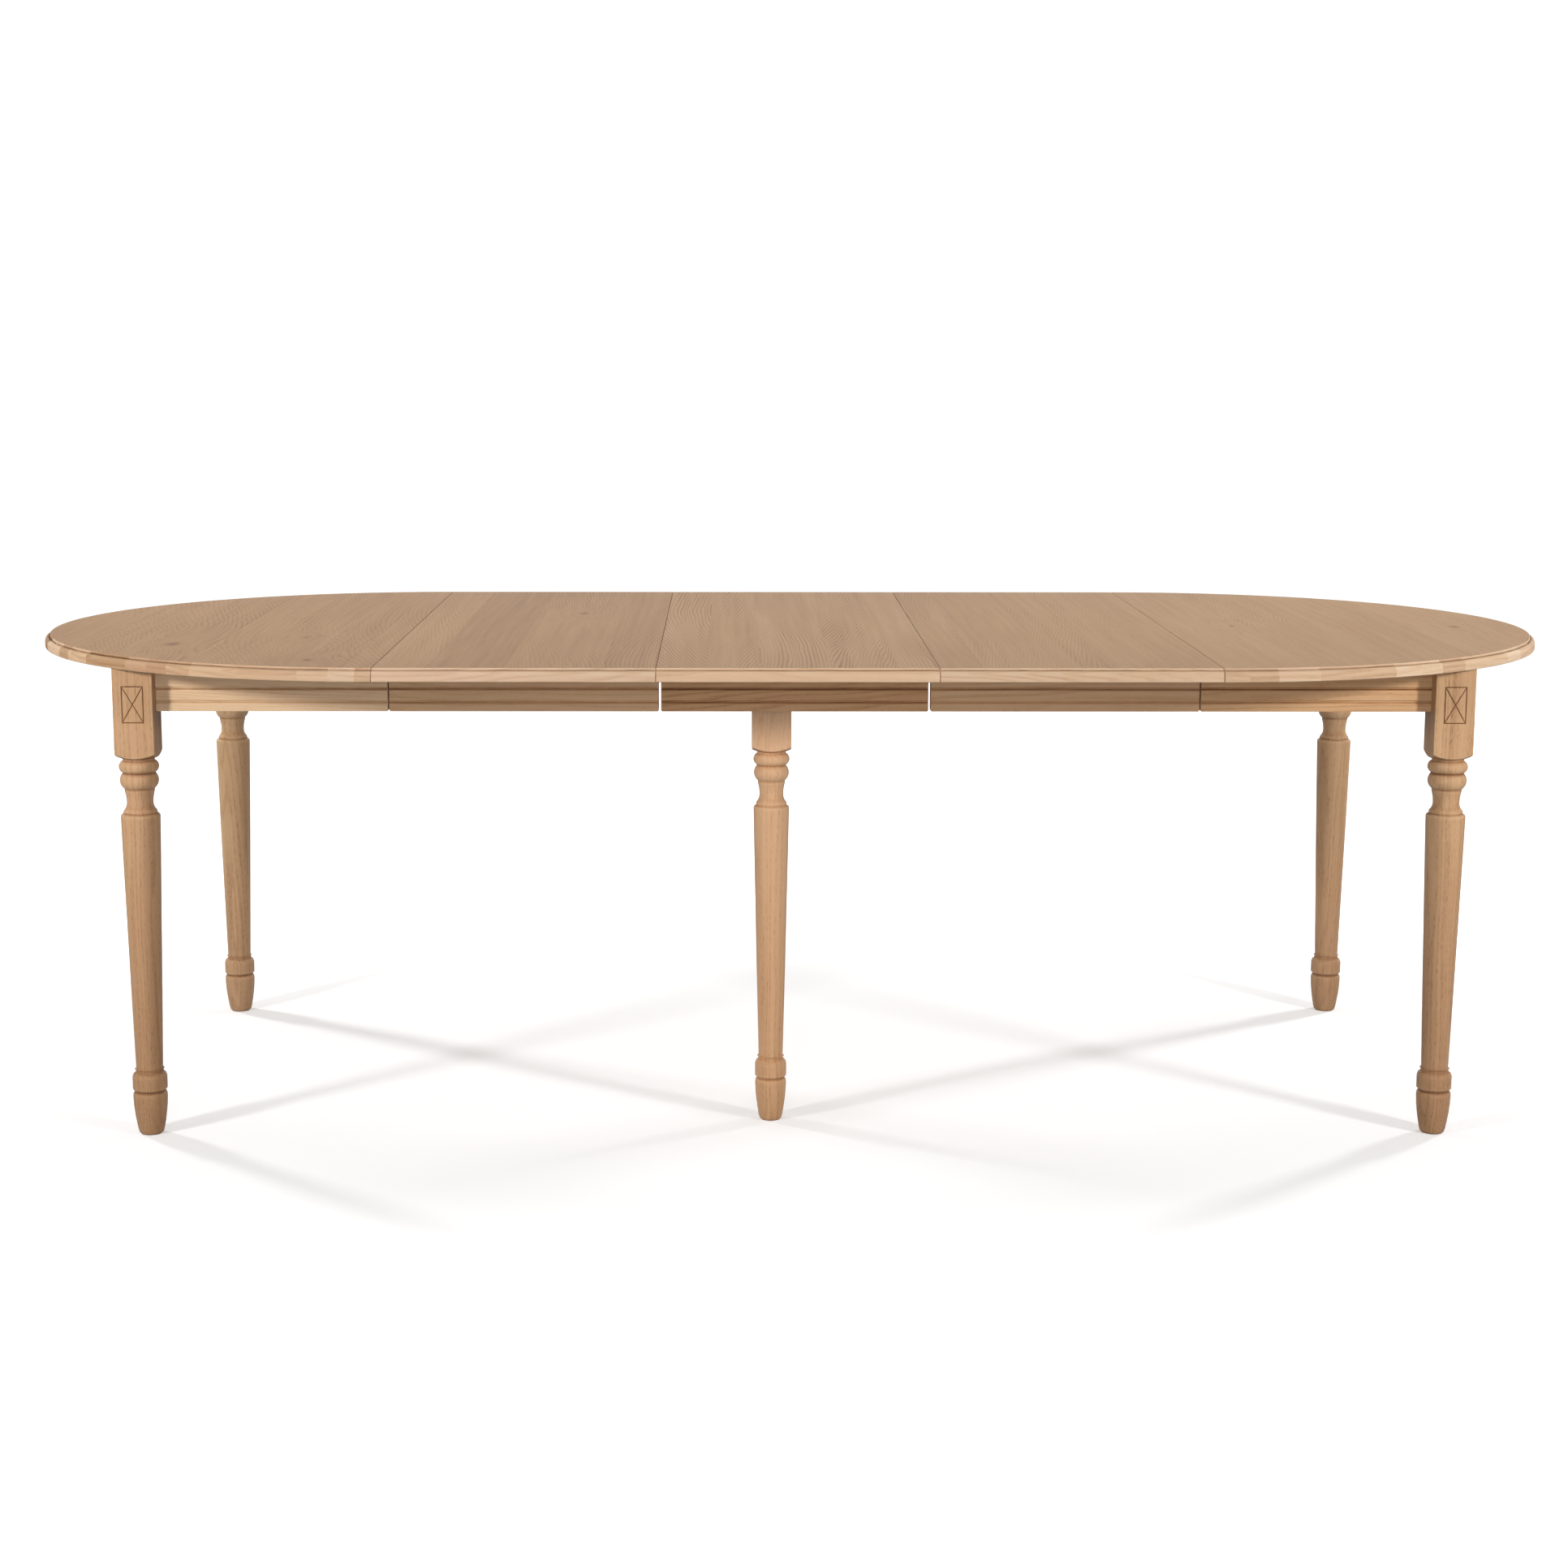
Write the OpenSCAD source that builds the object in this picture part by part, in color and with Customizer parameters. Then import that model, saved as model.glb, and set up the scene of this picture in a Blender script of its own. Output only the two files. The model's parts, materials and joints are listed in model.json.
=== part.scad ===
// Extending round dining table with three leaves, drawn open, in millimetres.
// X runs along the table, Y from the front edge to the back edge, Z up from the floor.

/* [Top] */
// Height of the top over the floor
table_h = 755; // [700:5:800]
// Diameter of the closed round top
top_d = 1200; // [1000:10:1440]
// Thickness of the top and the leaves
top_t = 20; // [16:1:28]
// Width of one leaf along the table
leaf_w = 412; // [330:2:496]
// Height of the small step at the rim's upper edge
rim_step = 4; // [2:0.5:6]
// Width of the flat under the step
rim_ledge = 1.5; // [0.5:0.5:4]
// Radius of the quarter round under the flat
rim_round = 6.5; // [3:0.5:9]

/* [Aprons] */
// Height of every apron board
apron_h = 70; // [58:1:90]
// Thickness of every apron board
apron_t = 20; // [16:1:26]
// How far the apron faces stand back from the leg faces
apron_recess = 23; // [10:1:28]
// Plain band under the lower groove
low_band = 11; // [8:1:16]
// Height of each moulded groove
groove_h = 6; // [4:0.5:8]
// Plain band between the two grooves
mid_band = 14.4; // [10:0.2:20]
// Depth of each moulded groove
groove_d = 3; // [1.5:0.5:5]
// Gap between an apron's end and the seam line
apron_gap = 1; // [0.5:0.5:4]
// The same gap on the middle leaf, whose aprons are shorter
middle_apron_gap = 2.5; // [0.5:0.5:6]

/* [Legs] */
// Side of the square leg blocks
block_w = 61; // [50:1:74]
// Height of the square leg blocks
block_h = 133; // [115:1:160]
// Radius of the turned dome under the blocks
dome_r = 75; // [65:1:100]
// Corner leg's centre from the end of the top
leg_inset_x = 216; // [205:1:260]
// Corner leg's centre from the front or back edge
leg_inset_y = 207; // [200:1:250]
// Slimness of the centre leg's turning beside the corner legs'
centre_slim = 0.93; // [0.85:0.01:1]
// How far the centre leg stands left of the middle
centre_leg_left = 34; // [0:1:60]
// Gap between the front leaf apron and the centre leg
centre_leg_gap = 33; // [10:1:60]
// Gap between the centre leg's block and the underside of the leaves
centre_top_gap = 2; // [1:0.5:6]
// Width of the engraved box on the corner leg blocks
engrave_w = 32; // [20:1:40]
// Height of the engraved box
engrave_h = 55; // [30:1:70]
// How far the box's middle stands above the block's middle
engrave_rise = 9.5; // [0:0.5:20]
// Width of the engraved lines
engrave_line = 2; // [1:0.5:3]
// Depth of the engraved lines
engrave_d = 1.2; // [0.6:0.2:2]

/* [Slides] */
// Thickness of one wooden runner
runner_t = 24; // [20:1:28]
// Height of one wooden runner
runner_h = 45; // [38:1:52]
// Solid wood left between a groove's end and its runner's end
groove_margin = 60; // [40:5:70]
// Depth of the dovetail key in the groove
key_d = 8; // [6:1:10]
// Width of the key where it leaves the runner
key_w = 12; // [8:1:16]
// Height of the beam that joins the slides to the centre leg
beam_h = 45; // [36:1:55]
// Width of that beam
beam_w = 50; // [40:1:58]
// How far the beam runs past the back fixed runner
beam_overhang = 12; // [5:1:30]
// Height of the pad between the beam and a fixed runner
beam_pad = 1; // [0.5:0.5:5]
// Width of the beam's tenon in the centre leg
tenon_w = 20; // [14:1:26]
// Length of the beam's tenon
tenon_l = 23.5; // [15:0.5:28]
// Shoulder above and under the tenon
tenon_shoulder = 8; // [5:1:12]
// Gap between the corner braces and the outermost runners
pack_margin = 7; // [3:1:20]
// Gap between a runner's end and the end apron
runner_end_gap = 2; // [1:0.5:6]
// How much shorter the strip on a runner's top is at the seam
strip_back = 1; // [0.5:0.5:5]

/* [Hardware] */
// Diameter of the alignment pins in the seams
pin_d = 8; // [6:1:10]
// Length of pin that stands out of its own edge
pin_out = 14; // [10:1:18]
// Length of the pins' bevelled noses
pin_nose = 2; // [1:0.5:3]
// Outer pins from the front and back edges
pin_inset = 180; // [120:5:260]
// Diameter of the hanger bolts that hold the legs
bolt_d = 8; // [6:1:10]
// Length of hanger bolt inside the leg
bolt_in_leg = 30; // [20:1:32]
// Length of hanger bolt past its nut
bolt_tail = 6; // [3:1:12]
// Diameter of the washers under the nuts
washer_d = 20; // [16:1:26]
// Thickness of the washers
washer_t = 1.6; // [1:0.1:2.5]
// Width of the nuts across their corners
nut_d = 15; // [12:0.5:18]
// Height of the nuts
nut_h = 6.5; // [5:0.5:8]
// Diameter of the wood screws' shanks
screw_d = 5; // [4:0.5:6]
// Diameter of the wood screws' heads
screw_head_d = 9.5; // [8:0.5:12]
// Height of the wood screws' heads
screw_head_h = 4; // [3:0.5:6]
// Length of screw inside a top
screw_in_top = 12; // [8:1:13]
// Length of screw inside a fixed runner
screw_in_runner = 27; // [15:1:32]
// First runner screw from the seam
screw_first = 74; // [40:1:120]
// Last runner screw from its runner's end
screw_last = 59; // [30:1:100]
// Beam screws from the beam's middle line
beam_screw_x = 12; // [8:1:16]
// Length of the glue blocks
glue_block_l = 60; // [40:5:80]
// Side of the glue blocks
glue_block_w = 25; // [18:1:28]
// Gap between a seam and the nearest glue block
glue_seam_gap = 20; // [5:1:40]
// Gap between a corner brace and the nearest glue block
glue_brace_gap = 8; // [3:1:20]
// Middle of a leaf's glue block from the leaf's edge
glue_leaf_inset = 87; // [60:1:110]
// Reach of the corner braces along each apron
brace_reach = 80; // [70:1:95]
// Thickness of the corner braces
brace_t = 22; // [18:1:26]
// Height of the corner braces
brace_h = 50; // [40:1:54]
// Gap between the corner braces and the top
brace_gap = 12; // [2:1:14]

/* [Clearances] */
// Gap at every seam between two tops
seam_gap = 0.4; // [0.3:0.1:1]
// Gap between a leaf or top and a runner that isn't its own
lift_gap = 0.5; // [0.3:0.1:1]
// Gap between neighbouring runners
runner_gap = 0.6; // [0.4:0.1:1]
// Gap around a key in its groove
key_gap = 0.4; // [0.3:0.1:0.8]
// Gap around an alignment pin in the next edge
pin_gap = 0.35; // [0.3:0.05:0.6]
// Gap around a screw or bolt in its own hole
hole_gap = 0.05; // [0.02:0.01:0.2]
// Gap around a hanger bolt in its corner brace
brace_hole_gap = 0.3; // [0.2:0.1:1]
// Gap around a hanger bolt in its washer
washer_gap = 0.2; // [0.1:0.05:0.5]
// Depth left free behind a key, a pin or a tenon
end_gap = 1; // [0.5:0.5:3]

/* [Hidden] */
$fn = 96;

top_r = top_d / 2;
under = table_h - top_t;
seam_x = 1.5 * leaf_w;
travel = seam_x;
slide_step = travel / 2;
rim_out = rim_ledge + rim_round;

leg_x = top_r - leg_inset_x;
leg_y = top_r - leg_inset_y;
apron_face_x = leg_x + block_w / 2 - apron_recess;
apron_face_y = leg_y + block_w / 2 - apron_recess;
apron_in_x = apron_face_x - apron_t;
apron_in_y = apron_face_y - apron_t;
block_z = under - block_h;

brace_in = brace_reach + brace_t * sqrt(2);
pack_out = apron_in_y - brace_in - pack_margin;
pack_pitch = runner_t + runner_gap;
runner_half = apron_in_x - runner_end_gap;
key_end = runner_half - groove_margin;
key_l = 2 * key_end - slide_step;
key_flare = 0.3;
runner_z = under - lift_gap - runner_h;

centre_leg_y = apron_in_y - centre_leg_gap - block_w / 2;
centre_block_top = under - centre_top_gap;
beam_top = runner_z - beam_pad;
beam_low = beam_top - beam_h;
beam_end = pack_out - 2 * pack_pitch + beam_overhang;
pin_z = under + top_t / 2;
pin_ys = [pin_inset - top_r, 0, top_r - pin_inset];
brace_z = under - brace_gap - brace_h;
bolt_z = brace_z + brace_h / 2;
screw_end = runner_half - screw_last;
screw_xs = [screw_first, (screw_first + screw_end) / 2, screw_end];
over = 1;

top_colour = [0.70, 0.58, 0.45];
frame_colour = [0.74, 0.58, 0.42];
leg_colour = [0.68, 0.50, 0.35];
runner_colour = [0.80, 0.68, 0.52];
steel_colour = [0.70, 0.70, 0.72];

// ---- outline shapes ----

// section of the moulded rim, from the middle out to the edge
module rim_section(reach) {
  union() {
    square([reach - rim_out, top_t]);
    square([reach - rim_round, top_t - rim_step]);
    square([reach, top_t - rim_step - rim_round]);
    translate([reach - rim_round, top_t - rim_step - rim_round]) circle(r = rim_round);
  }
}

// one moulded groove: a square step at its top and a slope out to the face
module groove_cut(z_top) {
  polygon([
    [apron_t - groove_d, z_top],
    [apron_t + over, z_top],
    [apron_t + over, z_top - groove_h],
    [apron_t, z_top - groove_h]
  ]);
}

// section of an apron, inner face on 0 and moulded face outward
module apron_section() {
  difference() {
    square([apron_t, apron_h]);
    groove_cut(low_band + groove_h);
    groove_cut(low_band + 2 * groove_h + mid_band);
  }
}

// ring-shaped hollow between two heights of a turning
module cove(r_min, z_mid, rad, z_low, z_high) {
  intersection() {
    translate([r_min + rad, z_mid]) circle(r = rad);
    translate([0, z_low]) square([r_min + 2 * rad, z_high - z_low]);
  }
}

// half section of a turned leg under its block, k scales the radii
module leg_section(k, z0) {
  taper_top = z0 - 99.3;
  taper_low = 103.5;
  difference() {
    union() {
      translate([0, z0 - 32]) square([24 * k, 30]);
      translate([30.3 * k - 10.2, z0 - 22.2]) circle(r = 10.2);
      translate([0, z0 - 56]) square([23.4 * k, 26]);
      intersection() {
        translate([29.3 * k - 16.3, z0 - 43.5]) circle(r = 16.3);
        translate([0, z0 - 60]) square([40, 40]);
      }
      translate([0, z0 - 94.2]) square([25.6 * k, 34.2]);
      translate([0, z0 - 60]) square([22.7 * k, 6]);
      translate([0, z0 - 104]) square([25.5 * k, 10]);
      translate([29.9 * k - 4, z0 - 99.3]) circle(r = 4);
      polygon(concat(
        [[0, taper_top]],
        [for (i = [0:6]) let (t = i / 6)
          [(29.9 - 9.5 * t + 1.4 * t * (1 - t)) * k,
           taper_top + (taper_low - taper_top) * t]],
        [[0, taper_low]]
      ));
      translate([0, 95.4]) square([25 * k, 8.1]);
      translate([0, 90]) square([20 * k, 20]);
      translate([0, 92.5]) square([25.4 * k, 3]);
      polygon([
        [0, 93], [26 * k, 93], [26.6 * k, 92.2], [26.6 * k, 72.2], [25.8 * k, 71.4],
        [23 * k, 68.7], [24.4 * k, 66.6], [26 * k, 64.6], [26.4 * k, 60.5],
        [25.7 * k, 46], [24.3 * k, 33], [22.4 * k, 20], [20 * k, 7], [18.4 * k, 2.2],
        [16 * k, 0], [0, 0]
      ]);
    }
    cove(20 * k, z0 - 78.2, 62.7, z0 - 78.2, z0 - 60);
    cove(20 * k, z0 - 78.2, 16.7, z0 - 90.4, z0 - 78.2);
    cove(20.4 * k, 103.5, 9, 95.5, 103.5);
  }
}

// ---- shared solids ----

// solid with the section's first axis along +Y and its second up, run along X
module along_x(length) {
  rotate([90, 0, 90]) linear_extrude(height = length) children();
}

// alignment pin or its hole along X, from x0 to x1
module pin_bar(x0, x1, grow) {
  for (y = pin_ys)
    translate([x0, y, pin_z]) rotate([0, 90, 0])
      cylinder(d = pin_d + 2 * grow, h = x1 - x0);
}

// pins that stand out of an edge at x, towards +X, with a bevelled nose
module edge_pins(x) {
  for (y = pin_ys)
    translate([x - pin_out, y, pin_z]) rotate([0, 90, 0]) union() {
      cylinder(d = pin_d, h = 2 * pin_out - pin_nose);
      translate([0, 0, 2 * pin_out - pin_nose])
        cylinder(d1 = pin_d, d2 = pin_d - 1.5 * pin_nose, h = pin_nose);
    }
}

// half-round end top, side is -1 at the left and 1 at the right
module half_top(side) {
  difference() {
    translate([side * seam_x, 0, under]) difference() {
      rotate_extrude() rim_section(top_r);
      translate([side > 0 ? -top_d : -seam_gap / 2, -top_d, -over])
        cube([top_d + seam_gap / 2, 2 * top_d, top_t + 2 * over]);
    }
    if (side < 0) pin_bar(-seam_x - seam_gap / 2 - pin_out, -seam_x + over, hole_gap);
    if (side > 0) pin_bar(seam_x - over, seam_x + pin_out + end_gap, pin_gap);
    for (f = [-1, 1]) runner_screw_set(side, f, hole_gap);
  }
}

// a straight apron along X between two ends, f is -1 at the front and 1 at the back
module long_apron(x0, x1, f) {
  translate([x0, f * apron_in_y, under - apron_h])
    if (f > 0) along_x(x1 - x0) apron_section();
    else mirror([0, 1, 0]) along_x(x1 - x0) apron_section();
}

module half_apron(side, f) {
  near = seam_x + apron_gap;
  far = seam_x + leg_x - block_w / 2;
  long_apron(side < 0 ? -far : near, side < 0 ? -near : far, f);
}

module end_apron(side) {
  span = 2 * leg_y - block_w;
  rotate([0, 0, side < 0 ? 90 : -90])
    translate([-span / 2, seam_x + apron_in_x, under - apron_h])
      along_x(span) apron_section();
}

// engraved box with crossed diagonals, cut into the face that looks along -Y
module engraving(face_y) {
  diag = sqrt(engrave_w * engrave_w + engrave_h * engrave_h);
  tilt = atan2(engrave_h, engrave_w);
  translate([0, face_y, (block_z + under) / 2 + engrave_rise]) {
    for (z = [-1, 1])
      translate([0, 0, z * engrave_h / 2])
        cube([engrave_w + engrave_line, 2 * engrave_d, engrave_line], center = true);
    for (x = [-1, 1])
      translate([x * engrave_w / 2, 0, 0])
        cube([engrave_line, 2 * engrave_d, engrave_h], center = true);
    for (a = [-1, 1])
      rotate([0, a * tilt, 0])
        cube([diag, 2 * engrave_d, engrave_line], center = true);
  }
}

// square block with a turned dome for its underside
module leg_block(top_z) {
  ball_z = block_z + sqrt(dome_r * dome_r - block_w * block_w / 2);
  intersection() {
    translate([-block_w / 2, -block_w / 2, block_z - 20])
      cube([block_w, block_w, top_z - block_z + 20]);
    union() {
      translate([0, 0, ball_z]) sphere(r = dome_r);
      translate([0, 0, ball_z]) cylinder(r = dome_r, h = top_z - ball_z + 5);
    }
  }
}

// leg standing on the floor at the origin
module leg(k, top_z, engraved) {
  difference() {
    union() {
      leg_block(top_z);
      rotate_extrude() leg_section(k, block_z);
    }
    if (engraved) {
      engraving(-block_w / 2);
      rotate([0, 0, 90]) engraving(-block_w / 2);
    }
  }
}

// from the corner leg's inner corner towards the middle of the table
module to_corner(side, f) {
  translate([side * (seam_x + leg_x - block_w / 2), f * (leg_y - block_w / 2), bolt_z])
    rotate([0, 0, atan2(-f, -side)]) rotate([0, 90, 0]) children();
}

// distance along the bolt from the leg's corner to the brace's far face
brace_far = (brace_in - (apron_in_x - leg_x + block_w / 2)
            - (apron_in_y - leg_y + block_w / 2)) / sqrt(2);

module hanger_bolt(side, f, grow) {
  to_corner(side, f) translate([0, 0, -bolt_in_leg])
    cylinder(d = bolt_d + 2 * grow,
             h = bolt_in_leg + brace_far + washer_t + nut_h + bolt_tail);
}

module corner_leg(side, f) {
  turn = f < 0 ? (side < 0 ? -90 : 0) : (side < 0 ? 180 : 90);
  difference() {
    translate([side * (seam_x + leg_x), f * leg_y, 0])
      rotate([0, 0, turn]) leg(1, under, true);
    hanger_bolt(side, f, hole_gap);
  }
}

module corner_brace(side, f) {
  corner_x = seam_x + apron_in_x;
  difference() {
    translate([0, 0, brace_z]) linear_extrude(height = brace_h) polygon([
      [side * corner_x, f * (apron_in_y - brace_reach)],
      [side * corner_x, f * (apron_in_y - brace_in)],
      [side * (corner_x - brace_in), f * apron_in_y],
      [side * (corner_x - brace_reach), f * apron_in_y]
    ]);
    hanger_bolt(side, f, brace_hole_gap);
  }
}

module washer(side, f) {
  to_corner(side, f) translate([0, 0, brace_far]) difference() {
    cylinder(d = washer_d, h = washer_t);
    translate([0, 0, -over])
      cylinder(d = bolt_d + 2 * washer_gap, h = washer_t + 2 * over);
  }
}

module nut(side, f) {
  to_corner(side, f) translate([0, 0, brace_far + washer_t]) difference() {
    cylinder(d = nut_d, h = nut_h, $fn = 6);
    translate([0, 0, -over])
      cylinder(d = bolt_d + 2 * hole_gap, h = nut_h + 2 * over);
  }
}

// blocks glued into the corner between an apron and the top
module half_glue_blocks(side) {
  near = glue_seam_gap + glue_block_l / 2;
  far = apron_in_x - brace_in - glue_brace_gap - glue_block_l / 2;
  for (f = [-1, 1], at = [near, far])
    translate([side * (seam_x + at),
               f * (apron_in_y - glue_block_w / 2), under - glue_block_w / 2])
      cube([glue_block_l, glue_block_w, glue_block_w], center = true);
  translate([side * (seam_x + apron_in_x - glue_block_w / 2), 0,
             under - glue_block_w / 2])
    cube([glue_block_w, glue_block_l, glue_block_w], center = true);
}

// ---- slides ----

function row_y(i) = pack_out - runner_t / 2 - i * pack_pitch;

// runner with its key towards +Y and its groove towards -Y, centred on x = 0
module runner(keyed, grooved) {
  zc = runner_h / 2;
  groove_deep = key_d + end_gap;
  difference() {
    union() {
      translate([-runner_half, -runner_t / 2, 0])
        cube([2 * runner_half, runner_t, runner_h]);
      if (keyed)
        translate([-key_end, 0, 0]) along_x(key_l) polygon([
          [runner_t / 2 - over, zc - key_w / 2],
          [runner_t / 2, zc - key_w / 2],
          [runner_t / 2 + runner_gap + key_d,
           zc - key_w / 2 - key_flare * (runner_gap + key_d)],
          [runner_t / 2 + runner_gap + key_d,
           zc + key_w / 2 + key_flare * (runner_gap + key_d)],
          [runner_t / 2, zc + key_w / 2],
          [runner_t / 2 - over, zc + key_w / 2]
        ]);
    }
    if (grooved)
      translate([-key_end - key_gap, 0, 0]) along_x(2 * (key_end + key_gap)) polygon([
        [-runner_t / 2 - over,
         zc - key_w / 2 - key_gap - key_flare * (runner_gap - over)],
        [-runner_t / 2 + groove_deep,
         zc - key_w / 2 - key_gap - key_flare * (runner_gap + groove_deep)],
        [-runner_t / 2 + groove_deep,
         zc + key_w / 2 + key_gap + key_flare * (runner_gap + groove_deep)],
        [-runner_t / 2 - over,
         zc + key_w / 2 + key_gap + key_flare * (runner_gap - over)]
      ]);
  }
}

// row 0 is the outermost runner of a pack, row 4 the innermost
module placed_runner(i, shift, f) {
  if (f > 0)
    translate([shift, row_y(i), runner_z]) runner(i > 0, i < 4);
  else
    mirror([0, 1, 0]) translate([shift, row_y(i), runner_z]) runner(i > 0, i < 4);
}

// a half's own runner also fills the gap up to its own top
module half_runner(side, f) {
  i = side < 0 ? 0 : 4;
  x0 = side < 0 ? -seam_x - runner_half : seam_x + strip_back;
  difference() {
    union() {
      placed_runner(i, side * seam_x, f);
      translate([x0, f * row_y(i) - runner_t / 2, runner_z + runner_h - over])
        cube([runner_half - strip_back, runner_t, over + lift_gap]);
    }
    runner_screw_set(side, f, hole_gap);
  }
}

// screw pointing up, or its hole where grow isn't 0
module screw(length, grow) {
  sunk = grow > 0 ? over : 0;
  translate([0, 0, -sunk])
    cylinder(d = screw_head_d + 2 * grow, h = screw_head_h + sunk);
  cylinder(d = screw_d + 2 * grow, h = length);
}

// screws up through a half's runner into its top
module runner_screw_set(side, f, grow) {
  i = side < 0 ? 0 : 4;
  for (at = screw_xs)
    translate([side * (seam_x + at), f * row_y(i), runner_z])
      screw(runner_h + lift_gap + screw_in_top, grow);
}

module beam_screw_set(grow) {
  for (f = [-1, 1], x = [-beam_screw_x, beam_screw_x])
    translate([x - centre_leg_left, f * row_y(2), beam_low])
      screw(beam_h + beam_pad + screw_in_runner, grow);
}

// the fixed runner has a pad that carries it on the beam
module fixed_runner(f) {
  difference() {
    union() {
      placed_runner(2, 0, f);
      translate([-centre_leg_left - beam_w / 2, f * row_y(2) - runner_t / 2, beam_top])
        cube([beam_w, runner_t, beam_pad + over]);
    }
    beam_screw_set(hole_gap);
  }
}

// ---- leaves, numbered 1 to 3 from the left ----

function leaf_x(n) = (n - 2) * leaf_w;

module leaf_top(n) {
  wide = leaf_w - seam_gap;
  x0 = leaf_x(n) - wide / 2;
  difference() {
    union() {
      translate([x0, 0, under]) along_x(wide) rim_section(top_r);
      translate([x0, 0, under]) mirror([0, 1, 0]) along_x(wide) rim_section(top_r);
    }
    pin_bar(x0 - over, x0 + pin_out + end_gap, pin_gap);
    pin_bar(x0 + wide - pin_out, x0 + wide + over, hole_gap);
  }
}

module leaf_apron(n, f) {
  short = n == 2 ? middle_apron_gap : apron_gap;
  half = leaf_w / 2 - short;
  long_apron(leaf_x(n) - half, leaf_x(n) + half, f);
}

module leaf_glue_blocks(n) {
  reach = leaf_w / 2 - glue_leaf_inset;
  for (f = [-1, 1], x = [-reach, reach])
    translate([leaf_x(n) + x, f * (apron_in_y - glue_block_w / 2),
               under - glue_block_w / 2])
      cube([glue_block_l, glue_block_w, glue_block_w], center = true);
}

// ---- nodes ----

module centre_leg() {
  color(leg_colour) difference() {
    translate([-centre_leg_left, -centre_leg_y, 0]) leg(centre_slim, centre_block_top, false);
    translate([-centre_leg_left - tenon_w / 2,
               -centre_leg_y + block_w / 2 - tenon_l - end_gap,
               beam_low + tenon_shoulder])
      cube([tenon_w, tenon_l + end_gap + over, beam_h - 2 * tenon_shoulder]);
  }
}

module cross_beam() {
  color(runner_colour) difference() {
    union() {
      translate([-centre_leg_left - beam_w / 2, -centre_leg_y + block_w / 2, beam_low])
        cube([beam_w, beam_end + centre_leg_y - block_w / 2, beam_h]);
      translate([-centre_leg_left - tenon_w / 2 + hole_gap,
                 -centre_leg_y + block_w / 2 - tenon_l,
                 beam_low + tenon_shoulder + hole_gap])
        cube([tenon_w - 2 * hole_gap, tenon_l + over,
              beam_h - 2 * (tenon_shoulder + hole_gap)]);
    }
    beam_screw_set(hole_gap);
  }
}

module centre_runner_front() { color(runner_colour) fixed_runner(-1); }
module centre_runner_back() { color(runner_colour) fixed_runner(1); }
module beam_screws() { color(steel_colour) beam_screw_set(0); }

module left_top() { color(top_colour) half_top(-1); }
module left_front_apron() { color(frame_colour) half_apron(-1, -1); }
module left_back_apron() { color(frame_colour) half_apron(-1, 1); }
module left_end_apron() { color(frame_colour) end_apron(-1); }
module left_front_leg() { color(leg_colour) corner_leg(-1, -1); }
module left_back_leg() { color(leg_colour) corner_leg(-1, 1); }
module left_corner_braces() { color(runner_colour) for (f = [-1, 1]) corner_brace(-1, f); }
module left_hanger_bolts() { color(steel_colour) for (f = [-1, 1]) hanger_bolt(-1, f, 0); }
module left_washers() { color(steel_colour) for (f = [-1, 1]) washer(-1, f); }
module left_nuts() { color(steel_colour) for (f = [-1, 1]) nut(-1, f); }
module left_glue_blocks() { color(runner_colour) half_glue_blocks(-1); }
module left_runner_front() { color(runner_colour) half_runner(-1, -1); }
module left_runner_back() { color(runner_colour) half_runner(-1, 1); }
module left_runner_screws() {
  color(steel_colour) for (f = [-1, 1]) runner_screw_set(-1, f, 0);
}
module left_pins() { color(runner_colour) edge_pins(-seam_x - seam_gap / 2); }

module right_top() { color(top_colour) half_top(1); }
module right_front_apron() { color(frame_colour) half_apron(1, -1); }
module right_back_apron() { color(frame_colour) half_apron(1, 1); }
module right_end_apron() { color(frame_colour) end_apron(1); }
module right_front_leg() { color(leg_colour) corner_leg(1, -1); }
module right_back_leg() { color(leg_colour) corner_leg(1, 1); }
module right_corner_braces() { color(runner_colour) for (f = [-1, 1]) corner_brace(1, f); }
module right_hanger_bolts() { color(steel_colour) for (f = [-1, 1]) hanger_bolt(1, f, 0); }
module right_washers() { color(steel_colour) for (f = [-1, 1]) washer(1, f); }
module right_nuts() { color(steel_colour) for (f = [-1, 1]) nut(1, f); }
module right_glue_blocks() { color(runner_colour) half_glue_blocks(1); }
module right_runner_front() { color(runner_colour) half_runner(1, -1); }
module right_runner_back() { color(runner_colour) half_runner(1, 1); }
module right_runner_screws() {
  color(steel_colour) for (f = [-1, 1]) runner_screw_set(1, f, 0);
}

module mid_left_runner_front() { color(runner_colour) placed_runner(1, -slide_step, -1); }
module mid_left_runner_back() { color(runner_colour) placed_runner(1, -slide_step, 1); }
module mid_right_runner_front() { color(runner_colour) placed_runner(3, slide_step, -1); }
module mid_right_runner_back() { color(runner_colour) placed_runner(3, slide_step, 1); }

module leaf_1_top() { color(top_colour) leaf_top(1); }
module leaf_1_front_apron() { color(frame_colour) leaf_apron(1, -1); }
module leaf_1_back_apron() { color(frame_colour) leaf_apron(1, 1); }
module leaf_1_glue_blocks() { color(runner_colour) leaf_glue_blocks(1); }
module leaf_1_pins() { color(runner_colour) edge_pins(-leaf_w / 2 - seam_gap / 2); }
module leaf_2_top() { color(top_colour) leaf_top(2); }
module leaf_2_front_apron() { color(frame_colour) leaf_apron(2, -1); }
module leaf_2_back_apron() { color(frame_colour) leaf_apron(2, 1); }
module leaf_2_glue_blocks() { color(runner_colour) leaf_glue_blocks(2); }
module leaf_2_pins() { color(runner_colour) edge_pins(leaf_w / 2 - seam_gap / 2); }
module leaf_3_top() { color(top_colour) leaf_top(3); }
module leaf_3_front_apron() { color(frame_colour) leaf_apron(3, -1); }
module leaf_3_back_apron() { color(frame_colour) leaf_apron(3, 1); }
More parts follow.
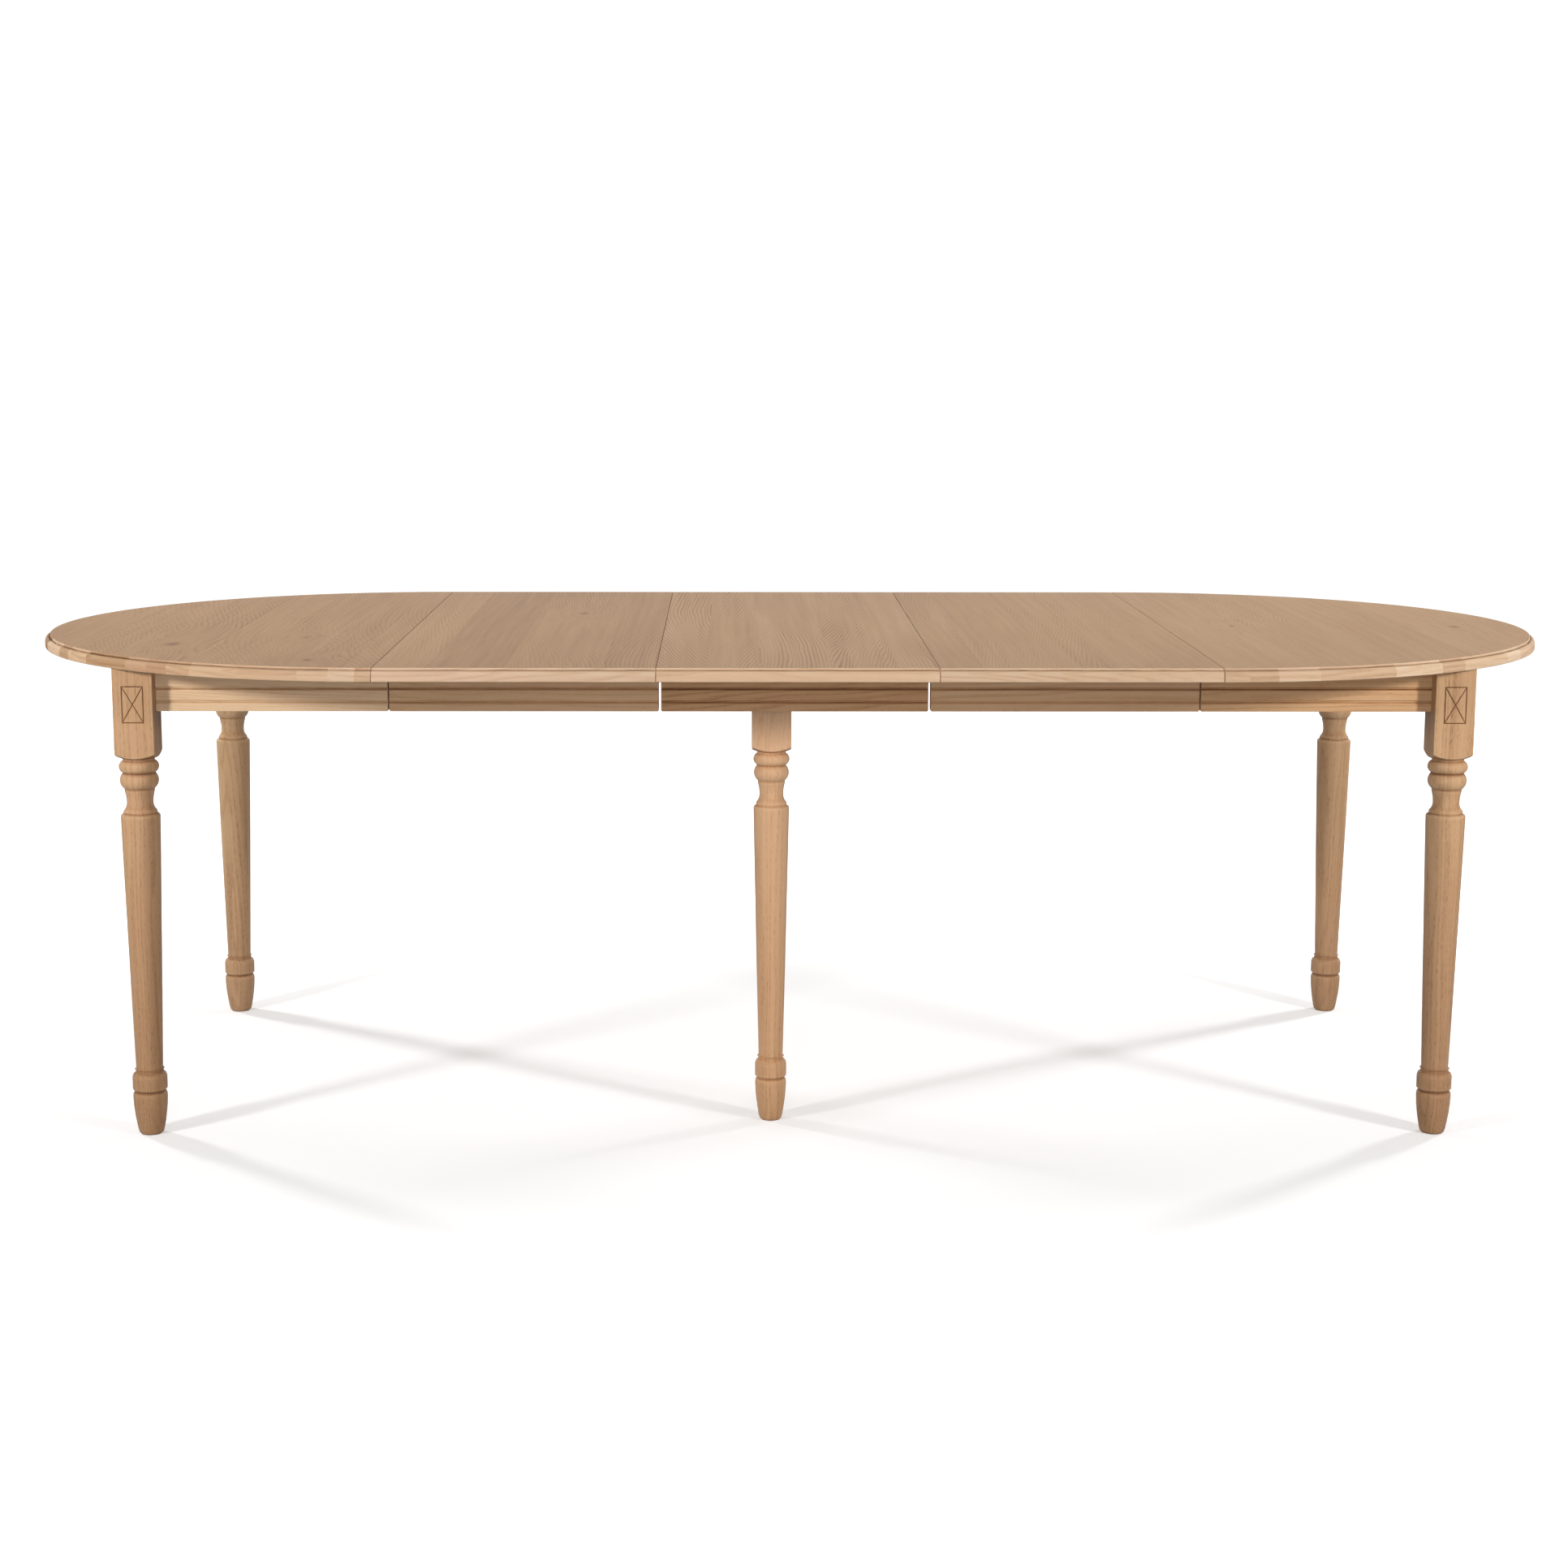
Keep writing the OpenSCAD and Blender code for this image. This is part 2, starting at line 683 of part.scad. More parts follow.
module leaf_3_glue_blocks() { color(runner_colour) leaf_glue_blocks(3); }
module leaf_3_pins() { color(runner_colour) edge_pins(seam_x - seam_gap / 2); }

centre_leg();
cross_beam();
centre_runner_front();
centre_runner_back();
beam_screws();
left_top();
left_front_apron();
left_back_apron();
left_end_apron();
left_front_leg();
left_back_leg();
left_corner_braces();
left_hanger_bolts();
left_washers();
left_nuts();
left_glue_blocks();
left_runner_front();
left_runner_back();
left_runner_screws();
left_pins();
right_top();
right_front_apron();
right_back_apron();
right_end_apron();
right_front_leg();
right_back_leg();
right_corner_braces();
right_hanger_bolts();
right_washers();
right_nuts();
right_glue_blocks();
right_runner_front();
right_runner_back();
right_runner_screws();
mid_left_runner_front();
mid_left_runner_back();
mid_right_runner_front();
mid_right_runner_back();
leaf_1_top();
leaf_1_front_apron();
leaf_1_back_apron();
leaf_1_glue_blocks();
leaf_1_pins();
leaf_2_top();
leaf_2_front_apron();
leaf_2_back_apron();
leaf_2_glue_blocks();
leaf_2_pins();
leaf_3_top();
leaf_3_front_apron();
leaf_3_back_apron();
leaf_3_glue_blocks();
leaf_3_pins();
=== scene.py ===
import math

import bmesh
import bpy
import numpy as np
from mathutils import Matrix, Vector
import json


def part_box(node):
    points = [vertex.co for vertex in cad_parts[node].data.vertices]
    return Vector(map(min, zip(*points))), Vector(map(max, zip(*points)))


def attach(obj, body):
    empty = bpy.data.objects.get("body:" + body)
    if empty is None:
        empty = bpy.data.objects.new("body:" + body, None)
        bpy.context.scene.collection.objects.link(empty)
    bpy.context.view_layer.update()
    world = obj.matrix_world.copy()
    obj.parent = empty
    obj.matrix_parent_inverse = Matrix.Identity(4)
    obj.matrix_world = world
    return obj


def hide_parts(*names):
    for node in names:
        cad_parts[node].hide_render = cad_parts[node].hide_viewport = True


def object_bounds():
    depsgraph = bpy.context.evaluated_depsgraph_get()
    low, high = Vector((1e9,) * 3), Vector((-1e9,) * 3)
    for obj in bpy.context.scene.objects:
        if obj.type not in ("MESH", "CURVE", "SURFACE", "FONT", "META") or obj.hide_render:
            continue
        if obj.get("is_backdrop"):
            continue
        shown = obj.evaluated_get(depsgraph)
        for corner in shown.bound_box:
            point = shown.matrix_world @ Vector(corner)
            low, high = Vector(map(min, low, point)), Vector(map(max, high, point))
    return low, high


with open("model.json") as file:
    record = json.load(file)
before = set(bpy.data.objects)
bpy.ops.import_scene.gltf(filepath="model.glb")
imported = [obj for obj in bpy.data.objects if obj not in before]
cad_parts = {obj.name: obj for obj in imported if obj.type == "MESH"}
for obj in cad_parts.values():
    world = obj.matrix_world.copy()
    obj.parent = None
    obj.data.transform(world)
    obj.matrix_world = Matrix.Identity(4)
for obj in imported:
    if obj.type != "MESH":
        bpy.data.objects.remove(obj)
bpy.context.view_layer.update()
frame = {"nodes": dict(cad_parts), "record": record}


# every shape below is a whole array of points

def gridFaces(nu, nv, closeU=False, closeV=False):
    # point (i, j) joins (i+1, j), (i+1, j+1) and (i, j+1); a closed side wraps round to 0
    i, j = np.meshgrid(np.arange(nu if closeU else nu - 1),
                       np.arange(nv if closeV else nv - 1), indexing="ij")
    p, q = (i + 1) % nu, (j + 1) % nv
    return np.stack([i * nv + j, p * nv + j, p * nv + q, i * nv + q], -1).reshape(-1, 4)


def softPath(corners, steps=6):
    # corners are (a, b, radius, edge). Each is swapped for a conic arc through the points one
    # radius before and after it: (u*u*p0 + 2*u*t*w*c + t*t*p1) / (u*u + 2*u*t*w + t*t), u = 1-t
    # with w = cosine of half the turn, so a right angle gives a true quarter circle
    # edge is strongest in the middle of the arc and fades out over the next 1.2 mm
    spots = np.array([c[:2] for c in corners], float)
    rows = [np.array([[*spots[0], 0.0]])]
    t = np.linspace(0, 1, steps)[:, None]
    for k in range(1, len(corners) - 1):
        c, radius, edge = spots[k], corners[k][2], corners[k][3]
        before, after = np.linalg.norm(spots[k - 1] - c), np.linalg.norm(spots[k + 1] - c)
        back, ahead = (spots[k - 1] - c) / before, (spots[k + 1] - c) / after
        w = math.sqrt(max((1 - back @ ahead) / 2, 0))
        p0, p1, u = c + back * radius, c + ahead * radius, 1 - t
        arc = (u * u * p0 + 2 * u * t * w * c + t * t * p1) / (u * u + 2 * u * t * w + t * t)
        far = [min(radius * 1.25 + 0.0012, length * 0.48) for length in (before, after)]
        rows.append(np.array([[*(c + back * max(far[0], radius * 1.02)), 0.0]]))
        rows.append(np.column_stack([arc, edge * (0.6 + 0.4 * np.sin(np.pi * t))]))
        rows.append(np.array([[*(c + ahead * max(far[1], radius * 1.02)), 0.0]]))
    rows.append(np.array([[*spots[-1], 0.0]]))
    return np.concatenate(rows)


def shrinkPath(path, by):
    # moves each point of an open path inwards along its own normal (-db, da) of the path
    step = np.gradient(path[:, :2], axis=0)
    step /= np.linalg.norm(step, axis=1, keepdims=True)
    return path[:, :2] - by * np.column_stack([-step[:, 1], step[:, 0]])


def splitFaces(quads, finishOf):
    return [(quads[finishOf == k], k) for k in np.unique(finishOf)]


def loopShell(points, edge, kinds=None):
    # closed loops joined one to the next, with a flat face on the first and the last;
    # kinds holds the finish of each strip round the loop
    nu, nv = points.shape[:2]
    index = np.arange(nu * nv).reshape(nu, nv)
    kinds = np.zeros(nv, int) if kinds is None else kinds
    return {"points": points, "edge": edge, "caps": [index[0], index[-1]],
            "faces": splitFaces(gridFaces(nu, nv, closeV=True), np.tile(kinds, nu - 1))}


def addObject(name, data):
    made = bpy.data.objects.new(name, data)
    bpy.context.scene.collection.objects.link(made)
    return made


def turnOutwards(mesh, weld=0.0):
    # merges points closer than weld, then makes every face look outwards
    build = bmesh.new()
    build.from_mesh(mesh)
    if weld:
        bmesh.ops.remove_doubles(build, verts=build.verts, dist=weld)
    bmesh.ops.recalc_face_normals(build, faces=build.faces)
    build.to_mesh(mesh)
    build.free()


def makePiece(name, shells, body, finishes, nodes):
    # joins shells of points and faces, welds doubles, turns faces outwards and hands it over
    points, faces, finishOf, marks, start = [], [], [], {}, 0
    for shell in shells:
        spots = shell["points"].reshape(-1, 3)
        for quads, finish in shell["faces"]:
            faces += (quads + start).tolist()
            finishOf += [finish] * len(quads)
        for cap in shell["caps"]:  # flat ends and faces of many corners take the first finish
            faces.append((cap + start).tolist())
            finishOf.append(0)
        for key in ("edge", "run"):
            size = 3 if key == "run" else 1
            part = shell.get(key)
            part = np.zeros((len(spots), size)) if part is None else part.reshape(-1, size)
            marks.setdefault(key, []).append(part)
        points.append(spots)
        start += len(spots)
    mesh = bpy.data.meshes.new(name)
    mesh.from_pydata(np.concatenate(points).tolist(), [], faces)
    mesh.polygons.foreach_set("material_index", finishOf)
    for key, kind, field in (("edge", "FLOAT", "value"), ("run", "FLOAT_VECTOR", "vector")):
        layer = mesh.attributes.new(key, kind, "POINT")
        layer.data.foreach_set(field, np.concatenate(marks[key]).astype(np.float32).ravel())
    turnOutwards(mesh, weld=2e-6)
    mesh.shade_smooth()
    mesh.set_sharp_from_angle(angle=math.radians(34))
    for finish in finishes:
        mesh.materials.append(finish)
    piece = addObject(name, mesh)
    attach(piece, body)
    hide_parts(*nodes)
    return piece


def put(tree, kind, inputs=None, **settings):
    made = tree.nodes.new(kind)
    for key, value in settings.items():
        setattr(made, key, value)
    for key, value in (inputs or {}).items():
        if isinstance(value, bpy.types.NodeSocket):
            tree.links.new(value, made.inputs[key])
        else:
            made.inputs[key].default_value = value
    return made


def calc(tree, operation, a, b=0.0, c=0.0):
    return put(tree, "ShaderNodeMath", {0: a, 1: b, 2: c}, operation=operation).outputs[0]


def vectorCalc(tree, operation, a, b):
    made = put(tree, "ShaderNodeVectorMath", {0: a, 1: b}, operation=operation)
    return made.outputs["Value" if operation in ("LENGTH", "DOT_PRODUCT") else "Vector"]


def spread(tree, value, low, high, toLow=0.0, toHigh=1.0, smooth=False):
    return put(tree, "ShaderNodeMapRange",
               {"Value": value, "From Min": low, "From Max": high, "To Min": toLow,
                "To Max": toHigh},
               interpolation_type="SMOOTHSTEP" if smooth else "LINEAR").outputs["Result"]


def noise(tree, vector, scale=1.0, detail=2.0, rough=0.5, output="Fac"):
    return put(tree, "ShaderNodeTexNoise",
               {"Vector": vector, "Scale": scale, "Detail": detail,
                "Roughness": rough}).outputs[output]


def stretch(tree, vector, scale):
    return put(tree, "ShaderNodeMapping", {"Vector": vector, "Scale": scale}).outputs["Vector"]


def figure(tree, vector, scale, detail=1.0, rough=0.5):
    # noise of another fineness on each axis
    return noise(tree, stretch(tree, vector, scale), 1.0, detail, rough)


def pushed(tree, vector, by, amount):
    # vector + by * amount
    return vectorCalc(tree, "ADD", vector, vectorCalc(tree, "MULTIPLY", by, amount))


def mixedIn(tree, value, field, amount, middle=0.5):
    # value + (field - middle) * amount
    return calc(tree, "MULTIPLY_ADD", calc(tree, "SUBTRACT", field, middle), amount, value)


def rampOf(tree, value, stops, mode="LINEAR"):
    ramp = put(tree, "ShaderNodeValToRGB", {"Fac": value})
    ramp.color_ramp.interpolation = mode
    while len(ramp.color_ramp.elements) < len(stops):
        ramp.color_ramp.elements.new(1.0)
    for element, (place, colour) in zip(ramp.color_ramp.elements, stops):
        element.position = place
        element.color = (*colour, 1.0)
    return ramp.outputs["Color"]


def tint(red, green, blue):
    # screen colour 0..255 to the linear colour that a shader takes
    level = np.array([red, green, blue]) / 255
    return tuple(np.where(level <= 0.04045, level / 12.92, ((level + 0.055) / 1.055) ** 2.4))


def newFinish(name):
    finish = bpy.data.materials.new(name)
    finish.use_nodes = True
    finish.node_tree.nodes.clear()
    return finish, finish.node_tree


def objectPlace(tree):
    return put(tree, "ShaderNodeTexCoord").outputs["Object"]


def giveShader(tree, inputs):
    shader = put(tree, "ShaderNodeBsdfPrincipled", inputs)
    put(tree, "ShaderNodeOutputMaterial", {"Surface": shader.outputs[0]})


# oak: rings about a tilted heart, fibres, pores, boards, knots, rubbed edges and painted shade
# in grooves and corners

# from the pores to the palest wood
oakPalette = ((0.0, (104, 68, 40)), (0.28, (156, 114, 77)), (0.58, (196, 158, 120)),
              (0.95, (222, 191, 158)))
rosyOak = (206, 160, 131)

oakDefaults = {
    "grain": "Y",            # the way the fibres run
    "seed": 0.0,             # moves the whole figure to another part of the tree
    "heart": (0.05, -0.11),  # where the heart lies across and under the board, m
    "tilt": 0.10,            # how steeply the rings cut the face
    "ringWidth": 0.0034,     # one year's growth, m
    "wander": 0.035,         # how far the fibres sway sideways, m
    "rings": 0.16,           # how strongly the early wood of each ring shows
    "bands": 0.10,           # how much whole rings differ from each other
    "uneven": 1.6,           # how irregular their spacing is, years
    "fibre": 0.20,
    "streak": 120.0,         # broad streaks side by side in one metre
    "pores": 0.22,
    "blotch": 0.18,
    "boardTone": 0.30,
    "tone": 0.5,             # overall lightness on the palette
    "rosy": 0.35,
    "worn": 0.16,            # how much lighter rubbed arrises are
    "paintedShade": 0.30,           # painted shade: how much darker corners and grooves are painted
    "footShade": 0.0,          # painted shade: how much darker an upright piece is painted towards its foot, where less lamp light falls
    "joints": (),            # glue lines between boards, along X
    "glueLine": 0.10,        # how much darker a glue line is
    "blocks": 0.0,           # mean length of blocks glued in a row, 0 for one long board
    "knots": (),             # (x, y, half width) in metres
    "knotDark": 0.34,
    "rough": (0.50, 0.66),
    "gloss": 0.42,
    "bump": 0.25,
    "stain": (1, 1, 1),
    "onRim": False,
}

oakScale = {  # how fine each figure is across, under and along the board, per metre
    "wander": (3.0, 3.0, 0.9), "years": (60.0, 60.0, 1.2), "fibre": (620.0, 620.0, 9.0),
    "pores": (1900.0, 1900.0, 95.0), "fleck": (210.0, 500.0, 60.0),
    "blotch": (5.0, 5.0, 1.6), "strength": (34.0, 34.0, 1.1), "warmth": (9.0, 9.0, 1.4),
}


def boardSteps(tree, look, x, tone, flat):
    # a stepped ramp gives each board its lightness and its own piece of the tree; a glue line
    # is 1 - |x - joint| / its half width of 0.8 mm
    first, last = look["span"]
    share = spread(tree, x, first, last)
    edges = [first] + list(look["joints"])
    picks = np.random.default_rng(int(look["seed"] * 10) + 3).random((len(edges), 2))
    stops = [((at - first) / (last - first), (look["tones"][k], picks[k, 0], picks[k, 1]))
             for k, at in enumerate(edges)]
    board = put(tree, "ShaderNodeSeparateColor",
                {0: rampOf(tree, share, stops, "CONSTANT")}).outputs
    tone = mixedIn(tree, tone, board[0], look["boardTone"])
    ownPlace = put(tree, "ShaderNodeCombineXYZ",
                   {0: board[1], 1: board[2], 2: board[1]}).outputs[0]
    flat = pushed(tree, flat, ownPlace, (0.10, 0.02, 5.0))
    glueLine = None
    for at in look["joints"]:
        gap = calc(tree, "ABSOLUTE", calc(tree, "SUBTRACT", x, at))
        line = spread(tree, gap, 0.0, 0.0008, 1.0, 0.0)
        glueLine = line if glueLine is None else calc(tree, "MAXIMUM", glueLine, line)
    return tone, flat, glueLine


def blockSteps(tree, look, along, tone, flat):
    # blocks glued side by side: floor(along / length + 0.45 * sin(21 * along)) picks a random
    # lightness and piece of the tree
    wave = calc(tree, "SINE", calc(tree, "MULTIPLY", along, 21.0))
    count = calc(tree, "FLOOR", calc(tree, "MULTIPLY_ADD", along, 1 / look["blocks"],
                                     calc(tree, "MULTIPLY", wave, 0.45)))
    pick = put(tree, "ShaderNodeTexWhiteNoise",
               {"W": calc(tree, "ADD", count, look["seed"])}, noise_dimensions="1D")
    tone = mixedIn(tree, tone, pick.outputs["Value"], look["boardTone"])
    return tone, pushed(tree, flat, pick.outputs["Color"], (0.2, 0.2, 4.0))


def knotBend(tree, look, place, bent):
    # a bell exp(-d*d) darkens each knot's middle and a wider exp(-0.16*d) lifts the rings
    knotMark = None
    for kx, ky, half in look["knots"]:
        away = vectorCalc(tree, "MULTIPLY", vectorCalc(tree, "SUBTRACT", place, (kx, ky, 0)),
                          (1 / half, 0.5 / half, 0.0))
        away = vectorCalc(tree, "LENGTH", away, (0, 0, 0))
        away = mixedIn(tree, away, noise(tree, place, 90.0, 2.0), 0.9)
        bell = calc(tree, "EXPONENT", calc(tree, "MULTIPLY", calc(tree, "MULTIPLY", away, away),
                                           -1.0))
        wide = calc(tree, "EXPONENT", calc(tree, "MULTIPLY", away, -0.16))
        lift = put(tree, "ShaderNodeCombineXYZ", {1: calc(tree, "MULTIPLY", wide, 0.05)})
        bent = vectorCalc(tree, "ADD", bent, lift.outputs[0])
        knotMark = bell if knotMark is None else calc(tree, "MAXIMUM", knotMark, bell)
    return bent, knotMark


def growthRings(tree, look, flat, bent):
    # years = distance from the heart / one year's growth + noise; the early wood is a soft
    # saw tooth of them, and floor(years) gives each whole ring its own tone
    hx, hd = look["heart"]
    parts = put(tree, "ShaderNodeSeparateXYZ", {0: bent}).outputs
    across = calc(tree, "SUBTRACT", parts[0], hx)
    swing = calc(tree, "SINE", calc(tree, "MULTIPLY", parts[2], 1.9))
    deep = calc(tree, "ADD", calc(tree, "SUBTRACT", parts[1], hd),
                calc(tree, "MULTIPLY", swing, look["tilt"]))
    radius = calc(tree, "SQRT", calc(tree, "ADD", calc(tree, "MULTIPLY", across, across),
                                     calc(tree, "MULTIPLY", deep, deep)))
    uneven = figure(tree, flat, oakScale["years"])
    years = calc(tree, "ADD", calc(tree, "DIVIDE", radius, look["ringWidth"]),
                 calc(tree, "MULTIPLY", uneven, look["uneven"]))
    saw = calc(tree, "FRACT", years)
    early = calc(tree, "MULTIPLY", spread(tree, saw, 0.0, 0.10, 0, 1, True),
                 spread(tree, saw, 0.62, 0.16, 0, 1, True))
    whole = put(tree, "ShaderNodeCombineXYZ", {0: calc(tree, "FLOOR", years)}).outputs[0]
    return early, figure(tree, whole, (0.37, 1, 1))


def oakFinish(name, look):
    look = {**oakDefaults, **look}
    finish, tree = newFinish(name)
    if look["onRim"]:
        # along the rim, outwards and up, as the rim's own surface carries it
        place = put(tree, "ShaderNodeAttribute", attribute_name="run").outputs["Vector"]
    else:
        place = objectPlace(tree)
    parts = put(tree, "ShaderNodeSeparateXYZ", {0: place}).outputs
    x, y, z = parts[0], parts[1], parts[2]
    across, deep, along = {"X": (y, z, x), "Y": (x, z, y), "Z": (x, y, z)}[look["grain"]]
    tone = look["tone"]

    shift = (look["seed"] * 1.7, look["seed"] * 0.9, look["seed"] * 2.3)
    flat = put(tree, "ShaderNodeCombineXYZ", {0: across, 1: deep, 2: along}).outputs[0]
    flat = vectorCalc(tree, "ADD", flat, shift)
    glueLine = None
    if look["joints"]:
        tone, flat, glueLine = boardSteps(tree, look, x, tone, flat)
    if look["blocks"]:
        tone, flat = blockSteps(tree, look, along, tone, flat)

    # slow wander of the fibres
    wander = noise(tree, stretch(tree, flat, oakScale["wander"]), 2.2, 2.0, 0.5, "Color")
    wander = vectorCalc(tree, "SUBTRACT", wander, (0.5, 0.5, 0.5))
    sway = look["wander"]
    bent = pushed(tree, flat, wander, (sway, sway, 0.0))
    bent, knotMark = knotBend(tree, look, place, bent)
    early, yearTone = growthRings(tree, look, flat, bent)

    # long fibres, short dark pores in the early wood, pale flecks, slow blotches
    fibre = figure(tree, bent, oakScale["fibre"], 3.0, 0.6)
    streak = figure(tree, bent, (look["streak"], look["streak"], 1.8), 2.0)
    poreField = figure(tree, bent, oakScale["pores"])
    pore = calc(tree, "MULTIPLY", spread(tree, poreField, 0.54, 0.66, 0, 1, True),
                calc(tree, "MULTIPLY_ADD", early, 0.8, 0.2))
    fleck = spread(tree, figure(tree, bent, oakScale["fleck"]), 0.66, 0.78, 0, 1, True)
    blotch = figure(tree, flat, oakScale["blotch"], 2.0)

    def add(amount, field, middle=0.5):
        nonlocal tone
        tone = mixedIn(tree, tone, field, amount, middle)

    add(look["fibre"], fibre)
    add(look["fibre"] * 1.2, streak)
    strength = spread(tree, figure(tree, bent, oakScale["strength"]), 0.36, 0.62, 0.25, 1.7)
    add(-look["rings"], calc(tree, "MULTIPLY", early, strength), 0.3)
    add(look["bands"], yearTone)
    add(look["blotch"], blotch)
    add(-look["pores"], pore, 0.0)
    add(look["fibre"] * 0.35, fleck, 0.0)
    # edge marks: + lightens rubbed arrises (real wear), - darkens grooves, steps, seams and
    # engraved lines (painted shade)
    edge = put(tree, "ShaderNodeAttribute", attribute_name="edge").outputs["Fac"]
    wearAndShade = noise(tree, place, 35.0, 2.0)
    wearAndShade = calc(tree, "MULTIPLY", edge, calc(tree, "ADD", wearAndShade, 0.4))
    add(look["worn"], calc(tree, "MAXIMUM", wearAndShade, 0.0), 0.0)
    # painted shade: the negative edge marks darken grooves, steps, seams and engraved lines
    add(look["paintedShade"], calc(tree, "MINIMUM", wearAndShade, 0.0), 0.0)
    # painted shade: darker towards the foot of an upright piece
    if look["footShade"]:
        add(-look["footShade"], spread(tree, z, 0.0, 0.52, 1.0, 0.0), 0.0)
    if glueLine is not None:
        add(-look["glueLine"], glueLine, 0.0)
    if knotMark is not None:
        add(-look["knotDark"], knotMark, 0.0)

    colour = rampOf(tree, tone, [(at, tint(*shade)) for at, shade in oakPalette])
    warmth = spread(tree, figure(tree, flat, oakScale["warmth"], 2.0), 0.3, 0.75, 0.0,
                    look["rosy"])
    toned = put(tree, "ShaderNodeMix", {"Factor": warmth, "A": colour,
                                        "B": (*tint(*rosyOak), 1)},
                data_type="RGBA", blend_type="MIX")
    base = put(tree, "ShaderNodeMix", {"Factor": 1.0, "A": toned.outputs["Result"],
                                       "B": (*look["stain"], 1)},
               data_type="RGBA", blend_type="MULTIPLY").outputs["Result"]
    shine = spread(tree, calc(tree, "ADD", fibre, calc(tree, "MULTIPLY", pore, 0.6)),
                   0.3, 1.1, *look["rough"])
    height = calc(tree, "SUBTRACT", calc(tree, "MULTIPLY", fibre, 0.35), pore)
    bump = put(tree, "ShaderNodeBump", {"Height": height, "Strength": look["bump"],
                                        "Distance": 0.0002})
    giveShader(tree, {"Base Color": base, "Roughness": shine,
                      "Normal": bump.outputs["Normal"], "Specular IOR Level": look["gloss"]})
    return finish


rimShape = {
    "inside": 0.030,     # flat strip carried along with the moulding
    "step": 0.008,       # the small step stands this far in from the edge
    "drop": 0.004,       # height of the step
    "round": 0.0065,     # quarter round under the step
    "foot": 0.0016,      # easing of the lower arris
    "arris": 0.0007,     # easing of the top arris
    "seamEase": 0.0006,  # easing where two tops meet
    "seamDark": 0.0016,  # shadow line beside a seam
    "seamMark": -1.8,    # how dark the seam itself is: a dark joint with painted shadow in it
    "besideSeam": -0.8,
    "lastTurn": 88.8,    # degrees to the turned columns next to the seam
    "columns": 223,
}


def rimPath(thick):
    # from the flat top over the step and the round down to the flat underside, outward from 0
    s = rimShape
    # the negative edge mark in the corner under the step is painted shade; the positive marks
    # are wear on the arrises
    return softPath([
        (-s["inside"], thick, 0, 0), (-s["step"], thick, s["arris"], 0.9),
        (-s["step"], thick - s["drop"], 0.0008, -2.6), (0, thick - s["drop"], s["round"], 0.2),
        (0, 0, s["foot"], 0.8), (-s["inside"], 0, 0, 0)])


def rimFinish(path):
    # 1 on the moulding's own strips, 0 on the flats at both ends of the path
    middle = (path[1:, 0] + path[:-1, 0]) / 2
    return (middle > -rimShape["step"] - 0.0006).astype(int)


def halfTop(node, side, body, finishes):
    # the path turned about the round's centre from -90 to 90 degrees, then a flat seam face
    low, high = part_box(node)
    reach, under = high.y, low.z
    seam = high.x if side < 0 else low.x
    middle = side * (max(abs(low.x), abs(high.x)) - reach)
    path = rimPath(high.z - low.z)
    inner = shrinkPath(path, rimShape["seamEase"])
    last = rimShape["lastTurn"]
    turn = np.radians(np.linspace(-last, last, rimShape["columns"]))[:, None]
    out = reach + path[None, :, 0]
    arc = np.stack([middle + side * out * np.cos(turn), out * np.sin(turn),
                    np.broadcast_to(under + path[:, 1], out.shape) + 0 * turn], -1)

    def straight(x, shape, way):
        return np.column_stack([np.full(len(shape), x), way * (reach + shape[:, 0]),
                                under + shape[:, 1]])[None]

    ease = side * rimShape["seamEase"]
    fade = side * rimShape["seamDark"]
    points = np.concatenate([straight(seam, inner, -1), straight(seam + ease, path, -1),
                             straight(seam + fade, path, -1), arc,
                             straight(seam + fade, path, 1), straight(seam + ease, path, 1),
                             straight(seam, inner, 1)])
    nu, nv = points.shape[:2]
    run = np.concatenate([[-90] * 3, np.degrees(turn[:, 0]), [90] * 3]) / 180 * math.pi * reach
    marks = np.stack(np.broadcast_arrays(path[:, 0], path[:, 1], run[:, None]), -1)
    edge = np.broadcast_to(path[:, 2], (nu, nv)).copy()
    edge[[0, -1]] = rimShape["seamMark"]
    edge[[1, -2]] = rimShape["besideSeam"]
    index = np.arange(nu * nv).reshape(nu, nv)
    faces = splitFaces(gridFaces(nu, nv), np.tile(rimFinish(path), nu - 1))
    flats = [index[2:-2, 0], index[2:-2, -1], np.concatenate([index[0], index[-1][::-1]])]
    flats += [index[list(row), end] for end in (0, -1)  # the strips between the seam lines
              for row in ((0, 1, -2, -1), (1, 2, -3, -2))]
    return makePiece(node + ".board", [{"points": points, "faces": faces, "caps": flats,
                                        "edge": edge, "run": marks}],
                     body, finishes, [node])


